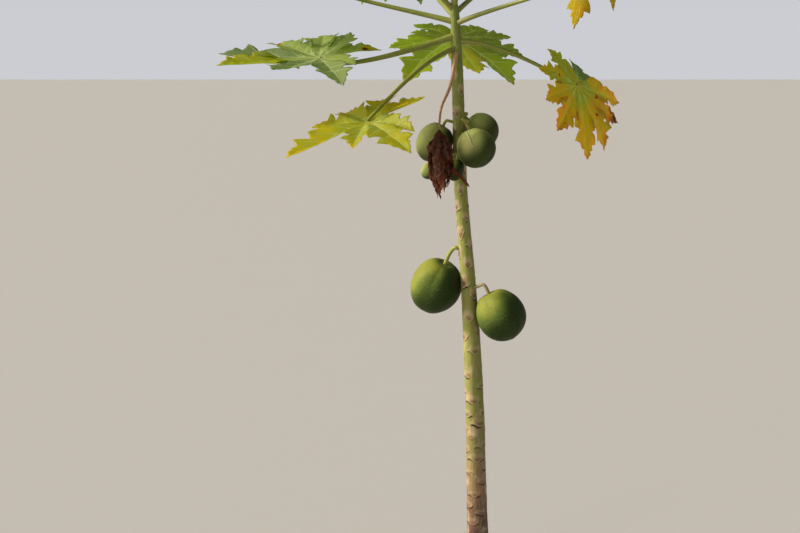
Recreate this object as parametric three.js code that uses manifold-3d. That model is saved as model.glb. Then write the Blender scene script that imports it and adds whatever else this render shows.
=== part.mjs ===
// A young papaya tree: one unbranched trunk, a spiral of long-stalked palmate leaves round its tip,
// one dead leaf that hangs, and seven green fruits on short stalks. Millimetres, +Z up.
// The origin is the middle of the flat cut under the trunk, at ground level.
import * as THREE from "three";
import { mergeVertices } from "three/addons/utils/BufferGeometryUtils.js";
import Module from "manifold-3d";

const wasm = await Module();
wasm.setup();

// Driving sizes. Azimuths are degrees from +X towards +Y, elevations are degrees above level.
const CLEARANCE = 0.3; // what separate pieces keep between them where they meet
const TRUNK_SIDES = 18;
const TRUNK_RING_STEP = 88;
const FLARE_HEIGHT = 45; // how far up the root flare reaches
const STALK_SIDES = 7;
const STALK_STEPS = 8;
const FRUIT_SIDES = 15;
const FRUIT_RINGS = 9;
const BLADE_THICKNESS = 0.02; // share of the longest lobe
const CUP = 0.16; // how far a lobe's edges stand above its midrib, for each mm across
const LEAST_BEND = 1e-6; // of a straight lobe, in radians for each mm
const WAVE = 0.2; // by what share some lobes bend more, and others less, than the leaf's own curl
const WAVES = 5; // how many times round the leaf

// A leaf stalk's radius at its foot and at its tip: a length in mm plus a share of the blade's.
const STALK_FOOT = { least: 3, share: 0.022 };
const STALK_TIP = { least: 0.8, share: 0.016 };
const FOOT_SWELL = 0.2; // how much wider the very foot is, as a share of the foot's radius
const SWELL_FADE = 0.05; // over what share of the stalk's length that swelling fades
const STALK_TAPER = 1.4; // above 1, the stalk thins more near its foot
const STRAIGHT_REACH = 0.36; // share of the stalk's length over which it keeps its first slope
const HOOK_REACH = 0.16; // share of its length over which it turns into the blade
const HOOK = { out: 0.75, ahead: 0.65 }; // how it meets the blade: square to it, and along it
const HOOK_OVER = { out: -0.45, ahead: 0.89 }; // the same where it comes from above

// The trunk from the ground up: its height, how far its middle leans along X, and its diameter.
const TRUNK = [
  { height: 0, lean: 0, diameter: 98 },
  { height: 45, lean: -1, diameter: 80 },
  { height: 130, lean: -4, diameter: 70 },
  { height: 300, lean: -10, diameter: 63 },
  { height: 520, lean: -17, diameter: 60 },
  { height: 760, lean: -29, diameter: 54 },
  { height: 990, lean: -45, diameter: 45.5 },
  { height: 1260, lean: -69, diameter: 40 },
  { height: 1590, lean: -82, diameter: 35 },
  { height: 1715, lean: -88, diameter: 31.5 },
  { height: 1790, lean: -93, diameter: 25 },
  { height: 1858, lean: -97, diameter: 11 },
];

// The leaves, oldest first. A stalk leaves the trunk at height node towards azimuth, sloping up by
// rise, and meets the blade at reach from the trunk's middle and at height. radius is the longest
// lobe, more or less. The middle lobe points to aim and the blade's upper side looks to face. lobes
// is how many there are, and curl is how many degrees they have bent down at their tips: the middle
// lobe, and those square to it on the left and on the right as one looks along it. The full-grown
// leaves that have a shape of their own list each lobe instead, from the right edge to the left:
// its turn from aim, its length and the degrees that its tip has bent down. over marks a blade that
// its stalk comes down to from above.
const LEAVES = [
  { name: "low_left", node: 1681, azimuth: 224, rise: -12, reach: 360, height: 1470,
    radius: 262, aim: [195, -19], face: [216, 70], over: true,
    lobes: [[-164, 203, 0], [-124, 201, 0], [-88, 219, 0], [-49, 201, 0], [12, 266, 0],
      [58, 178, 14], [96, 276, 20], [116, 187, 20], [142, 98, 0]] },
  { name: "low_right", node: 1699, azimuth: 350, rise: 2, reach: 360, height: 1571,
    radius: 234, aim: [294, -62], face: [317, 26],
    lobes: [[-145, 138, 11], [-104, 152, 16], [-66, 163, 12], [-37, 196, 19], [0, 230, 14],
      [33, 219, 23], [64, 205, 6], [86, 222, 9], [148, 143, 35]] },
  { name: "back_low", node: 1704, azimuth: 88, rise: 12, reach: 415, height: 1723,
    radius: 300, aim: [79, -22], face: [71, 68],
    lobes: [[-136, 188, 14], [-105, 206, 11], [-69, 250, 8], [-38, 317, 24], [-10, 303, 0],
      [42, 325, 33], [72, 252, 6], [106, 151, 7], [141, 183, 13]] },
  { name: "mid_left", node: 1716, azimuth: 186, rise: -18, reach: 407, height: 1650,
    radius: 322, aim: [168, -1], face: [256, 75],
    lobes: [[-138, 212, 5], [-103, 213, -14], [-78, 290, -1], [-45, 268, 1], [-1, 317, -8],
      [32, 310, -9], [73, 250, -14], [119, 269, 11], [144, 168, -2]] },
  { name: "front_right", node: 1750, azimuth: 320, rise: 18, reach: 463, height: 1876,
    radius: 205, aim: [318, -10], face: [300, 72],
    lobes: [[-142, 120, 31], [-103, 150, 50], [-65, 265, 60], [-25, 165, 72], [4, 192, 22],
      [34, 200, 28], [69, 178, 35], [103, 146, 35], [140, 113, 23]] },
  { name: "high_left", node: 1755, azimuth: 168, rise: 15, reach: 480, height: 1906,
    radius: 240, aim: [212, 0], face: [172, 94], curl: [30, 44, 44], lobes: 9 },
  { name: "back_left", node: 1769, azimuth: 111, rise: 26, reach: 370, height: 1960,
    radius: 240, aim: [114, -6], face: [114, 84], curl: [50, 64, 64], lobes: 9 },
  { name: "back_right", node: 1780, azimuth: 30, rise: 40, reach: 330, height: 2010,
    radius: 222, aim: [28, -10], face: [28, 80], curl: [46, 50, 50], lobes: 9 },
  { name: "upper_left", node: 1787, azimuth: 204, rise: 44, reach: 285, height: 2030,
    radius: 206, aim: [206, -6], face: [206, 84], curl: [50, 56, 56], lobes: 9 },
  { name: "upper_front", node: 1799, azimuth: 282, rise: 52, reach: 240, height: 2062,
    radius: 186, aim: [282, 0], face: [282, 90], curl: [48, 52, 52], lobes: 7 },
  { name: "upper_back", node: 1805, azimuth: 74, rise: 56, reach: 200, height: 2098,
    radius: 168, aim: [74, 8], face: [74, 98], curl: [46, 48, 48], lobes: 7 },
  { name: "upper_right", node: 1819, azimuth: 340, rise: 60, reach: 165, height: 2110,
    radius: 146, aim: [346, 14], face: [346, 104], curl: [42, 44, 44], lobes: 7 },
  { name: "young_left", node: 1827, azimuth: 160, rise: 66, reach: 112, height: 2112,
    radius: 118, aim: [160, 26], face: [160, 116], curl: [34, 36, 36], lobes: 7 },
  { name: "young_front", node: 1835, azimuth: 262, rise: 72, reach: 74, height: 2076,
    radius: 88, aim: [262, 40], face: [262, 130], curl: [20, 24, 24], lobes: 7 },
  { name: "young_back", node: 1843, azimuth: 40, rise: 78, reach: 46, height: 2020,
    radius: 66, aim: [40, 54], face: [40, 144], curl: [8, 12, 12], lobes: 7 },
];

// Half of a palmate blade, from its longest lobe back: where the lobes point, and their lengths.
const LOBE_PLANS = {
  9: { angles: [0, 33, 67, 102, 142], lengths: [1, 0.96, 0.87, 0.74, 0.58] },
  7: { angles: [0, 39, 81, 129], lengths: [1, 0.93, 0.78, 0.56] },
};
const LOBE_TURN_VARIES = 5; // degrees, from the least to the most
const LOBE_LENGTH_VARIES = 0.14;
const TOOTH_VARIES = 0.25;
const LOBE_ROOM = 33; // degrees from one lobe to the next at which they still grow to full width
const SINUS = 0.4; // how far out two lobes part, as a share of their lengths
const BACK_SINUS = 0.09; // the same in the gap over the stalk
// One side of a lobe as shares of its length, along and across: tooth, notch, tooth, notch.
const LOBE_SIDE = [
  { along: 0.5, across: 0.155 },
  { along: 0.56, across: 0.1 },
  { along: 0.76, across: 0.19 },
  { along: 0.82, across: 0.075 },
];
const MIDRIB = [0.38, 0.63, 0.84];

// The dead leaf: a withered stalk and the brown remains of its blade, hanging against the fruits.
// The stalk stands off the trunk by out, has sunk by sag at share bow of the way to its end, and
// turns down at share knee of the way, by drop above the end. hang is how far from the middle a
// strip of the blade lies, at even steps from its top down.
const DEAD = {
  node: 1664, azimuth: 264, end: [-141, -116, 1441], stalkRadius: [4.8, 2.4],
  out: 9, dip: 4, bow: 0.42, sag: 75, knee: 0.88, drop: 62,
  strips: 6, stripLength: 220, stripWidth: 42, stripThickness: 7, hang: [3, 23, 22, 17],
};
const STRIP_TOP = 4; // how far the strips start above the stalk's end
const FIRST_STRIP = 20; // degrees from +X
const STRIP_TURN = 1.1; // radians from one strip's face to the next one's
const STRIP_TWIST = 2.2; // radians along one strip
const STRIP_LENGTHS = { middle: 0.84, vary: 0.3 };
const STRIP_WIDTHS = { least: 0.35, belly: 0.75, swell: 0.8, ahead: 0.12 };

// The fruits. stem is the way the stem end points, as azimuth and elevation; from is where the
// stalk leaves the trunk, as height and azimuth; arch is how far the stalk bulges up.
const FRUITS = [
  { name: "low_left", centre: [-142, 36, 950], width: 159, length: 181, stem: [327, 65],
    from: [1077, 186], arch: 26, stalk: 4.6, taper: 0.03 },
  { name: "low_right", centre: [53, -41, 873], width: 150, length: 166, stem: [166, 60],
    from: [944, 322], arch: 22, stalk: 4.2, taper: 0.06 },
  { name: "high_front", centre: [-29, -63, 1386], width: 116, length: 120, stem: [124, 58],
    from: [1462, 300], arch: 10, stalk: 3.8, taper: 0.02 },
  { name: "high_back", centre: [-8, 44, 1431], width: 108, length: 113, stem: [188, 42],
    from: [1480, 22], arch: 8, stalk: 3.8, taper: 0.02 },
  { name: "high_left", centre: [-151, 10, 1399], width: 109, length: 125, stem: [350, 60],
    from: [1455, 180], arch: 12, stalk: 3.6, taper: 0.02 },
  { name: "young_front", centre: [-90, -49, 1320], width: 53, length: 68, stem: [40, 74],
    from: [1372, 236], arch: 4, stalk: 2.8, taper: 0 },
  { name: "young_left", centre: [-163, 32, 1312], width: 52, length: 61, stem: [352, 48],
    from: [1334, 168], arch: 5, stalk: 2.6, taper: 0 },
];
const DIMPLE = 0.07; // depth of the stem end's hollow, as a share of the fruit's length
const DIMPLE_REACH = 0.36; // how far from the stem the hollow fades, in radians round the fruit
const POLE = 0.06; // the first and last rings' distance from the poles, in radians
const RIBS = 5;
const RIB = 0.018; // how far the ribs stand out, as a share of the fruit's radius
const FRUIT_STALK_FOOT = { swell: 0.35, fade: 0.1 }; // where it leaves the trunk
const FRUIT_STALK_FLARE = 0.2; // where it meets the fruit
const FRUIT_STALK_RISE = 0.6; // share of its arch that it has gained one stalk's width off the trunk

const radians = THREE.MathUtils.degToRad;
const clamp = THREE.MathUtils.clamp;

// A number from -0.5 to 0.5 that depends only on its two seeds.
function scatter(a, b) {
  const s = Math.sin(a * 12.9898 + b * 78.233) * 43758.5453;
  return s - Math.floor(s) - 0.5;
}

// The unit vector at an azimuth and an elevation.
function direction(azimuth, elevation) {
  const a = radians(azimuth);
  const e = radians(elevation);
  return new THREE.Vector3(Math.cos(a) * Math.cos(e), Math.sin(a) * Math.cos(e), Math.sin(e));
}

// A trunk measure at height z: a smooth curve through the stations.
function trunkMeasure(z, key) {
  const last = TRUNK.length - 1;
  let i = 0;
  while (i < last - 1 && z > TRUNK[i + 1].height) i++;
  const slope = (j) => {
    const a = TRUNK[Math.max(j - 1, 0)];
    const b = TRUNK[Math.min(j + 1, last)];
    return (b[key] - a[key]) / (b.height - a.height);
  };
  const span = TRUNK[i + 1].height - TRUNK[i].height;
  const t = clamp((z - TRUNK[i].height) / span, 0, 1);
  return (
    TRUNK[i][key] * (2 * t ** 3 - 3 * t ** 2 + 1) +
    TRUNK[i + 1][key] * (3 * t ** 2 - 2 * t ** 3) +
    slope(i) * span * (t ** 3 - 2 * t ** 2 + t) +
    slope(i + 1) * span * (t ** 3 - t ** 2)
  );
}

const trunkCentre = (z) => new THREE.Vector3(trunkMeasure(z, "lean"), 0, z);
const trunkRadius = (z) => trunkMeasure(z, "diameter") / 2;

// A closed geometry from a list of rings of points, with a flat fan over each end.
function loft(rings) {
  const sides = rings[0].length;
  const points = rings.flat();
  const faces = [];
  for (let r = 0; r + 1 < rings.length; r++)
    for (let s = 0; s < sides; s++) {
      const a = r * sides + s;
      const b = r * sides + ((s + 1) % sides);
      faces.push(a, b, b + sides, a, b + sides, a + sides);
    }
  for (let s = 1; s + 1 < sides; s++) {
    const top = (rings.length - 1) * sides;
    faces.push(0, s + 1, s, top, top + s, top + s + 1);
  }
  return new THREE.BufferGeometry().setFromPoints(points).setIndex(faces);
}

// A limb along a curve. section(t) gives the half width, the half thickness and the turn there.
function limb(curve, section, sides, steps) {
  const frames = curve.computeFrenetFrames(steps, false);
  const rings = [];
  for (let i = 0; i <= steps; i++) {
    const centre = curve.getPointAt(i / steps);
    const { wide, thick, turn = 0 } = section(i / steps);
    const across = frames.normals[i].clone().applyAxisAngle(frames.tangents[i], turn);
    const up = frames.tangents[i].clone().cross(across);
    const ring = [];
    for (let s = 0; s < sides; s++) {
      const a = (2 * Math.PI * s) / sides;
      const point = centre.clone().addScaledVector(across, wide * Math.cos(a));
      ring.push(point.addScaledVector(up, thick * Math.sin(a)));
    }
    rings.push(ring);
  }
  return loft(rings);
}

// A geometry as a solid that can be cut and joined, and back again.
function toSolid(geometry) {
  const bare = new THREE.BufferGeometry().setAttribute("position", geometry.getAttribute("position"));
  bare.setIndex(geometry.index);
  const merged = mergeVertices(bare, 1e-4);
  return new wasm.Manifold(
    new wasm.Mesh({
      numProp: 3,
      vertProperties: merged.attributes.position.array,
      triVerts: new Uint32Array(merged.index.array),
    }),
  );
}

function toGeometry(solid) {
  const mesh = solid.getMesh();
  return new THREE.BufferGeometry()
    .setAttribute("position", new THREE.BufferAttribute(mesh.vertProperties, 3))
    .setIndex(new THREE.BufferAttribute(mesh.triVerts, 1));
}

// The trunk, or with grow the space that it and a clearance round it take up.
function trunkGeometry(grow = 0) {
  const top = TRUNK[TRUNK.length - 1].height + grow;
  const count = Math.round(top / TRUNK_RING_STEP);
  const heights = [0, FLARE_HEIGHT / 3, FLARE_HEIGHT];
  for (let i = 1; i <= count; i++) heights.push(FLARE_HEIGHT + ((top - FLARE_HEIGHT) * i) / count);
  const rings = heights.map((z) => {
    const centre = trunkCentre(z);
    const ring = [];
    for (let s = 0; s < TRUNK_SIDES; s++) {
      const a = (2 * Math.PI * s) / TRUNK_SIDES;
      const r = trunkRadius(z) + grow;
      ring.push(new THREE.Vector3(centre.x + r * Math.cos(a), r * Math.sin(a), z));
    }
    return ring;
  });
  return loft(rings);
}

const trunkSpace = toSolid(trunkGeometry(CLEARANCE));

// A blade's own axes at the point where its stalk meets it.
function bladeFrame(leaf) {
  const out = direction(leaf.azimuth, 0).multiplyScalar(leaf.reach);
  const joint = trunkCentre(leaf.node).add(out).setZ(leaf.height);
  const forward = direction(...leaf.aim);
  const normal = direction(...leaf.face);
  normal.addScaledVector(forward, -normal.dot(forward)).normalize();
  return { joint, forward, normal, side: normal.clone().cross(forward) };
}

// The lobes of a blade from its right edge to its left: angle in radians, length in mm, and how
// much a lobe bends down, in radians for each mm along it.
function lobesOf(leaf, seed) {
  if (Array.isArray(leaf.lobes))
    return leaf.lobes.map(([turn, length, curl]) => (
      { angle: radians(turn), length, bent: radians(curl) / length }
    ));
  const plan = LOBE_PLANS[leaf.lobes];
  const last = plan.angles.length - 1;
  const [ahead, left, right] = leaf.curl;
  const lobes = [];
  for (let k = -last; k <= last; k++) {
    const turn = Math.sign(k) * plan.angles[Math.abs(k)] + LOBE_TURN_VARIES * scatter(seed, k);
    const share = plan.lengths[Math.abs(k)] * (1 + LOBE_LENGTH_VARIES * scatter(seed + 40, k));
    const angle = radians(turn);
    const aside = Math.sin(angle) < 0 ? right : left;
    const wave = 1 + WAVE * Math.sin(WAVES * angle + seed);
    const curl = (ahead + (aside - ahead) * Math.abs(Math.sin(angle))) * wave;
    lobes.push({ angle, length: leaf.radius * Math.min(share, 1), bent: radians(curl) / leaf.radius });
  }
  return lobes;
}

// How much the blade bends down in direction a: what its lobes do, and evenly between them.
function bentAt(lobes, a) {
  const next = lobes.findIndex((lobe) => lobe.angle > a);
  if (next === 0) return lobes[0].bent;
  if (next < 0) return lobes[lobes.length - 1].bent;
  const [b, c] = [lobes[next - 1], lobes[next]];
  return b.bent + (c.bent - b.bent) * THREE.MathUtils.smoothstep(a, b.angle, c.angle);
}

// Where a point of the flat blade, at distance r and angle a from the joint, lies once the lobes
// have bent down and folded up a little along their midribs.
function bend(leaf, frame, lobes, r, a) {
  const nearest = lobes.reduce((m, l) => (Math.abs(l.angle - a) < Math.abs(m.angle - a) ? l : m));
  const across = r * Math.abs(Math.sin(a - nearest.angle));
  const curl = bentAt(lobes, a) || LEAST_BEND;
  const out = Math.sin(curl * r) / curl;
  const drop = (1 - Math.cos(curl * r)) / curl;
  return frame.joint.clone()
    .addScaledVector(frame.forward, out * Math.cos(a))
    .addScaledVector(frame.side, out * Math.sin(a))
    .addScaledVector(frame.normal, CUP * across - drop);
}

// A palmate blade as a thin closed plate, or with grow the space that it and a clearance take up.
function bladeGeometry(leaf, seed, grow = 0) {
  const frame = bladeFrame(leaf);
  const lobes = lobesOf(leaf, seed);
  const points = [frame.joint.clone()];
  const faces = [];
  const outline = [];
  const put = (r, a) => points.push(bend(leaf, frame, lobes, r, a)) - 1;
  const alongLobe = (lobe, along, across) => {
    const x = along * lobe.length;
    const y = across * lobe.length;
    return put(Math.hypot(x, y), lobe.angle + Math.atan2(y, x));
  };
  const sinus = lobes.map((lobe, k) => {
    if (k === 0) return put(BACK_SINUS * leaf.radius, -Math.PI);
    const reach = (lobes[k - 1].length + lobe.length) / 2;
    return put(SINUS * reach, (lobes[k - 1].angle + lobe.angle) / 2);
  });
  lobes.forEach((lobe, k) => {
    const ribs = MIDRIB.map((m) => alongLobe(lobe, m, 0));
    const tip = alongLobe(lobe, 1, 0);
    for (const hand of [-1, 1]) {
      const beside = lobes[k + hand] ?? lobe;
      const gap = Math.abs(beside.angle - lobe.angle) || radians(LOBE_ROOM);
      const room = Math.min(gap / radians(LOBE_ROOM), 1);
      const side = LOBE_SIDE.map((p, j) => {
        const vary = 1 + TOOTH_VARIES * scatter(seed + k, hand * (j + 2));
        return alongLobe(lobe, p.along, hand * p.across * vary * room);
      });
      const start = hand < 0 ? sinus[k] : sinus[(k + 1) % lobes.length];
      const fan = [
        [0, start, ribs[0]], [start, side[0], ribs[0]], [side[0], side[1], ribs[0]],
        [side[1], ribs[1], ribs[0]], [side[1], side[2], ribs[1]], [side[2], side[3], ribs[1]],
        [side[3], ribs[2], ribs[1]], [side[3], tip, ribs[2]],
      ];
      for (const [p, q, r] of fan) faces.push(hand < 0 ? [p, q, r] : [p, r, q]);
      if (hand < 0) outline.push(start, ...side, tip);
      else outline.push(...side.reverse());
    }
  });
  return plate(points, faces, outline, frame.normal, BLADE_THICKNESS * leaf.radius / 2 + grow);
}

// Gives a sheet of triangles a thickness of half to each side, and walls it along its outline.
function plate(points, faces, outline, normalAtFirst, half) {
  const normals = points.map(() => new THREE.Vector3());
  for (const [a, b, c] of faces) {
    const n = points[b].clone().sub(points[a]).cross(points[c].clone().sub(points[a]));
    for (const v of [a, b, c]) normals[v].add(n);
  }
  normals.forEach((n) => n.normalize());
  normals[0].copy(normalAtFirst);
  const count = points.length;
  const layer = (offset) => points.map((p, i) => p.clone().addScaledVector(normals[i], offset));
  const both = [...layer(half), ...layer(-half)];
  const index = faces.flatMap(([a, b, c]) => [a, b, c, a + count, c + count, b + count]);
  outline.forEach((a, i) => {
    const b = outline[(i + 1) % outline.length];
    index.push(b, a, a + count, b, a + count, b + count);
  });
  return new THREE.BufferGeometry().setFromPoints(both).setIndex(index);
}

// A leaf's stalk, cut clear of the trunk at one end and of the blade at the other.
function stalkGeometry(leaf, seed) {
  const { joint, forward, normal } = bladeFrame(leaf);
  const start = trunkCentre(leaf.node);
  const length = start.distanceTo(joint);
  const root = start.clone().addScaledVector(direction(leaf.azimuth, leaf.rise), STRAIGHT_REACH * length);
  const { out, ahead } = leaf.over ? HOOK_OVER : HOOK;
  const arrival = normal.clone().multiplyScalar(out).addScaledVector(forward, ahead).normalize();
  const hook = joint.clone().addScaledVector(arrival, -HOOK_REACH * length);
  const foot = STALK_FOOT.least + STALK_FOOT.share * leaf.radius;
  const tip = STALK_TIP.least + STALK_TIP.share * leaf.radius;
  const end = joint.clone();
  if (leaf.over) end.addScaledVector(normal, tip);
  else end.addScaledVector(arrival, -BLADE_THICKNESS * leaf.radius / 2);
  const curve = new THREE.CubicBezierCurve3(start, root, hook, end);
  const section = (t) => {
    const taper = tip + (foot - tip) * (1 - t) ** STALK_TAPER;
    const r = taper + FOOT_SWELL * foot * Math.exp(-t / SWELL_FADE);
    return { wide: r, thick: r };
  };
  return toGeometry(
    toSolid(limb(curve, section, STALK_SIDES, STALK_STEPS))
      .subtract(trunkSpace)
      .subtract(toSolid(bladeGeometry(leaf, seed, CLEARANCE))),
  );
}

// A fruit's body about its own axis: five faint ribs, a hollow at the stem end, a blunt far end.
function fruitBody(fruit) {
  const rings = [];
  for (let i = 0; i <= FRUIT_RINGS; i++) {
    const a = clamp((Math.PI * i) / FRUIT_RINGS, POLE, Math.PI - POLE);
    const hollow = DIMPLE * fruit.length * Math.exp(-((a / DIMPLE_REACH) ** 2));
    const ring = [];
    for (let s = 0; s < FRUIT_SIDES; s++) {
      const b = (-2 * Math.PI * s) / FRUIT_SIDES;
      const girth = (fruit.width / 2) * Math.sin(a) * (1 - fruit.taper * Math.cos(a));
      const r = girth * (1 + RIB * Math.cos(RIBS * b));
      const height = (fruit.length / 2) * Math.cos(a) - hollow;
      ring.push(new THREE.Vector3(r * Math.cos(b), r * Math.sin(b), height));
    }
    rings.push(ring);
  }
  const up = direction(...fruit.stem);
  const turn = new THREE.Quaternion().setFromUnitVectors(new THREE.Vector3(0, 0, 1), up);
  return loft(rings).applyQuaternion(turn).translate(...fruit.centre);
}

// A fruit with its stalk fused on, cut clear of the trunk.
function fruitGeometry(fruit) {
  const [height, azimuth] = fruit.from;
  const centre = new THREE.Vector3(...fruit.centre);
  const up = direction(...fruit.stem);
  const start = trunkCentre(height);
  const out = start.clone().addScaledVector(direction(azimuth, 0), trunkRadius(height) + 2 * fruit.stalk);
  out.z += fruit.arch * FRUIT_STALK_RISE;
  const seat = centre.clone().addScaledVector(up, fruit.length / 2 - 2 * DIMPLE * fruit.length);
  const above = centre.clone().addScaledVector(up, fruit.length / 2 + fruit.arch);
  const curve = new THREE.CatmullRomCurve3([start, out, above, seat]);
  const section = (t) => {
    const swell = FRUIT_STALK_FOOT.swell * Math.exp(-t / FRUIT_STALK_FOOT.fade);
    const r = fruit.stalk * (1 + swell + FRUIT_STALK_FLARE * t ** 4);
    return { wide: r, thick: r };
  };
  const stalk = toSolid(limb(curve, section, STALK_SIDES, STALK_STEPS));
  return toGeometry(toSolid(fruitBody(fruit)).add(stalk).subtract(trunkSpace));
}

function deadStalkCurve(below) {
  const start = trunkCentre(DEAD.node);
  const out = start.clone().addScaledVector(direction(DEAD.azimuth, 0), trunkRadius(DEAD.node) + DEAD.out);
  const end = new THREE.Vector3(...DEAD.end);
  end.z -= below;
  return new THREE.CatmullRomCurve3([
    start,
    out.clone().setZ(DEAD.node - DEAD.dip),
    out.clone().lerp(end, DEAD.bow).setZ(DEAD.node - DEAD.sag),
    out.clone().lerp(end, DEAD.knee).setZ(end.z + DEAD.drop),
    end,
  ]);
}

// The withered stalk, or with grow the space that it and a clearance take up.
function deadStalkGeometry(grow = 0) {
  const [foot, tip] = DEAD.stalkRadius;
  const section = (t) => {
    const r = tip + (foot - tip) * (1 - t) + FOOT_SWELL * foot * Math.exp(-t / SWELL_FADE) + grow;
    return { wide: r, thick: r };
  };
  return limb(deadStalkCurve(grow), section, STALK_SIDES, STALK_STEPS);
}

// The brown blade: shrunken lobes that hang from the stalk's tip, twisted and stuck together.
function deadBladeGeometry() {
  const top = new THREE.Vector3(...DEAD.end);
  let mass = null;
  for (let k = 0; k < DEAD.strips; k++) {
    const around = direction((360 * k) / DEAD.strips + FIRST_STRIP, 0);
    const length = DEAD.stripLength * (STRIP_LENGTHS.middle + STRIP_LENGTHS.vary * scatter(k, 3));
    const path = DEAD.hang.map((out, i) => {
      const down = (length * i) / (DEAD.hang.length - 1);
      return top.clone().addScaledVector(around, out).setZ(top.z + STRIP_TOP - down);
    });
    const section = (t) => {
      const { least, belly, swell, ahead } = STRIP_WIDTHS;
      const bulge = Math.sin(Math.PI * Math.min(t + ahead, 1)) ** swell;
      const wide = (DEAD.stripWidth / 2) * (least + belly * bulge);
      return { wide, thick: DEAD.stripThickness / 2, turn: STRIP_TURN * k + STRIP_TWIST * t };
    };
    const strip = toSolid(limb(new THREE.CatmullRomCurve3(path), section, 5, 6));
    mass = mass ? mass.add(strip) : strip;
  }
  const stalk = toSolid(deadStalkGeometry(CLEARANCE));
  return toGeometry(mass.subtract(stalk));
}

// Finishes: colours as the plant shows them in low sun.
const finish = (color, roughness) => new THREE.MeshStandardMaterial({ color, roughness, metalness: 0 });
const finishes = {
  bark: finish(0x8f9a58, 0.7),
  stalk: finish(0x7f7d3a, 0.6),
  leaf: finish(0x5f7f2c, 0.65),
  yellowGreen: finish(0xa3a024, 0.65),
  golden: finish(0xb98f22, 0.65),
  fruit: finish(0x5d7a34, 0.45),
  deadStalk: finish(0xa9713f, 0.8),
  deadLeaf: finish(0x4a2417, 0.9),
};
const BLADE_FINISH = { low_left: "yellowGreen", low_right: "golden", front_right: "golden" };

const tree = new THREE.Group();

function place(name, geometry, material) {
  const mesh = new THREE.Mesh(geometry, material);
  mesh.name = name;
  tree.add(mesh);
}

place("trunk", trunkGeometry(), finishes.bark);
LEAVES.forEach((leaf, seed) => {
  place(`stalk_${leaf.name}`, stalkGeometry(leaf, seed), finishes.stalk);
  place(`blade_${leaf.name}`, bladeGeometry(leaf, seed), finishes[BLADE_FINISH[leaf.name] ?? "leaf"]);
});
for (const fruit of FRUITS) place(`fruit_${fruit.name}`, fruitGeometry(fruit), finishes.fruit);
place("dead_stalk", toGeometry(toSolid(deadStalkGeometry()).subtract(trunkSpace)), finishes.deadStalk);
place("dead_blade", deadBladeGeometry(), finishes.deadLeaf);

export default tree;
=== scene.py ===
# %% [markdown]
# # A young papaya tree
#
# The tree is one unbranched stem with a spiral of long-stalked leaves round its top, seven green
# fruits below them and one dead leaf that hangs against the fruits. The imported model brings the
# trunk, stalks, blades and fruits as plain solids at their real size. This script dresses each of
# them: it grows every part again by the solids' own rule, with finer steps, and gives it a skin.
# Everything is in metres, with the ground at z = 0 and the trunk's foot at the origin.

import itertools
import math
from collections import namedtuple

import bmesh
import bpy
import numpy as np
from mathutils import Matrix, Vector
from mathutils.geometry import delaunay_2d_cdt


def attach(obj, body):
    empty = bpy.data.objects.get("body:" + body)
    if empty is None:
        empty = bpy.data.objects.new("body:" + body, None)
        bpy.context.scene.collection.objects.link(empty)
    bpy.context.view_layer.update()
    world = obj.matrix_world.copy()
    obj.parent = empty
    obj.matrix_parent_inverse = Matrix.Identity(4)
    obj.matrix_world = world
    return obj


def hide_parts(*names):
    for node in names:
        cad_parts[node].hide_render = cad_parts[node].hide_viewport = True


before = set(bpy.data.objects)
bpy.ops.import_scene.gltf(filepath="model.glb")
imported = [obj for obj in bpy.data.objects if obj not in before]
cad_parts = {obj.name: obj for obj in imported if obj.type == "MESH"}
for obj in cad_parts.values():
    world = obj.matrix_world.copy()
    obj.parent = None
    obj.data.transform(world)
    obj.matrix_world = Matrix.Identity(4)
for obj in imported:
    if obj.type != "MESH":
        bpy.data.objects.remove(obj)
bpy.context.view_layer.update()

# %% [markdown]
# ## Camera
#
# A picture looks right only from the place where it was taken. The horizon lies high in the frame,
# so the lens looks down a little from eye height, and the tree's foot is just below the lower edge.
# A normal 50 mm lens on a 36 mm wide sensor gives the frame's width, with no shift.

# %% Set up the camera
LENS = 0.050
SENSOR = 0.036
CAMERA_PLACE = (-0.2549, -3.386, 1.6)
CAMERA_TILT = 9.779  # degrees below level
MILLIMETRES = 1000  # in a metre: a Blender camera is measured in millimetres


def new_object(name, data):
    """An object in the scene, at the origin."""
    made = bpy.data.objects.new(name, data)
    bpy.context.collection.objects.link(made)
    return made


camera_data = bpy.data.cameras.new("camera")
camera_data.lens = LENS * MILLIMETRES
camera_data.sensor_width = SENSOR * MILLIMETRES
camera = new_object("camera", camera_data)
camera.location = CAMERA_PLACE
camera.rotation_euler = (math.radians(90 - CAMERA_TILT), 0, 0)
bpy.context.scene.camera = camera
print("camera", CAMERA_TILT, "degrees down from", CAMERA_PLACE)

# %% [markdown]
# ## A small language for node trees
#
# Materials and Geometry Nodes are both node trees. Wiring them by hand hides what they work out, so
# a `Value` stands for one socket and takes Python's operators, and a `Graph` makes any other node
# from its type, its settings and what goes into its sockets.

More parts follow.
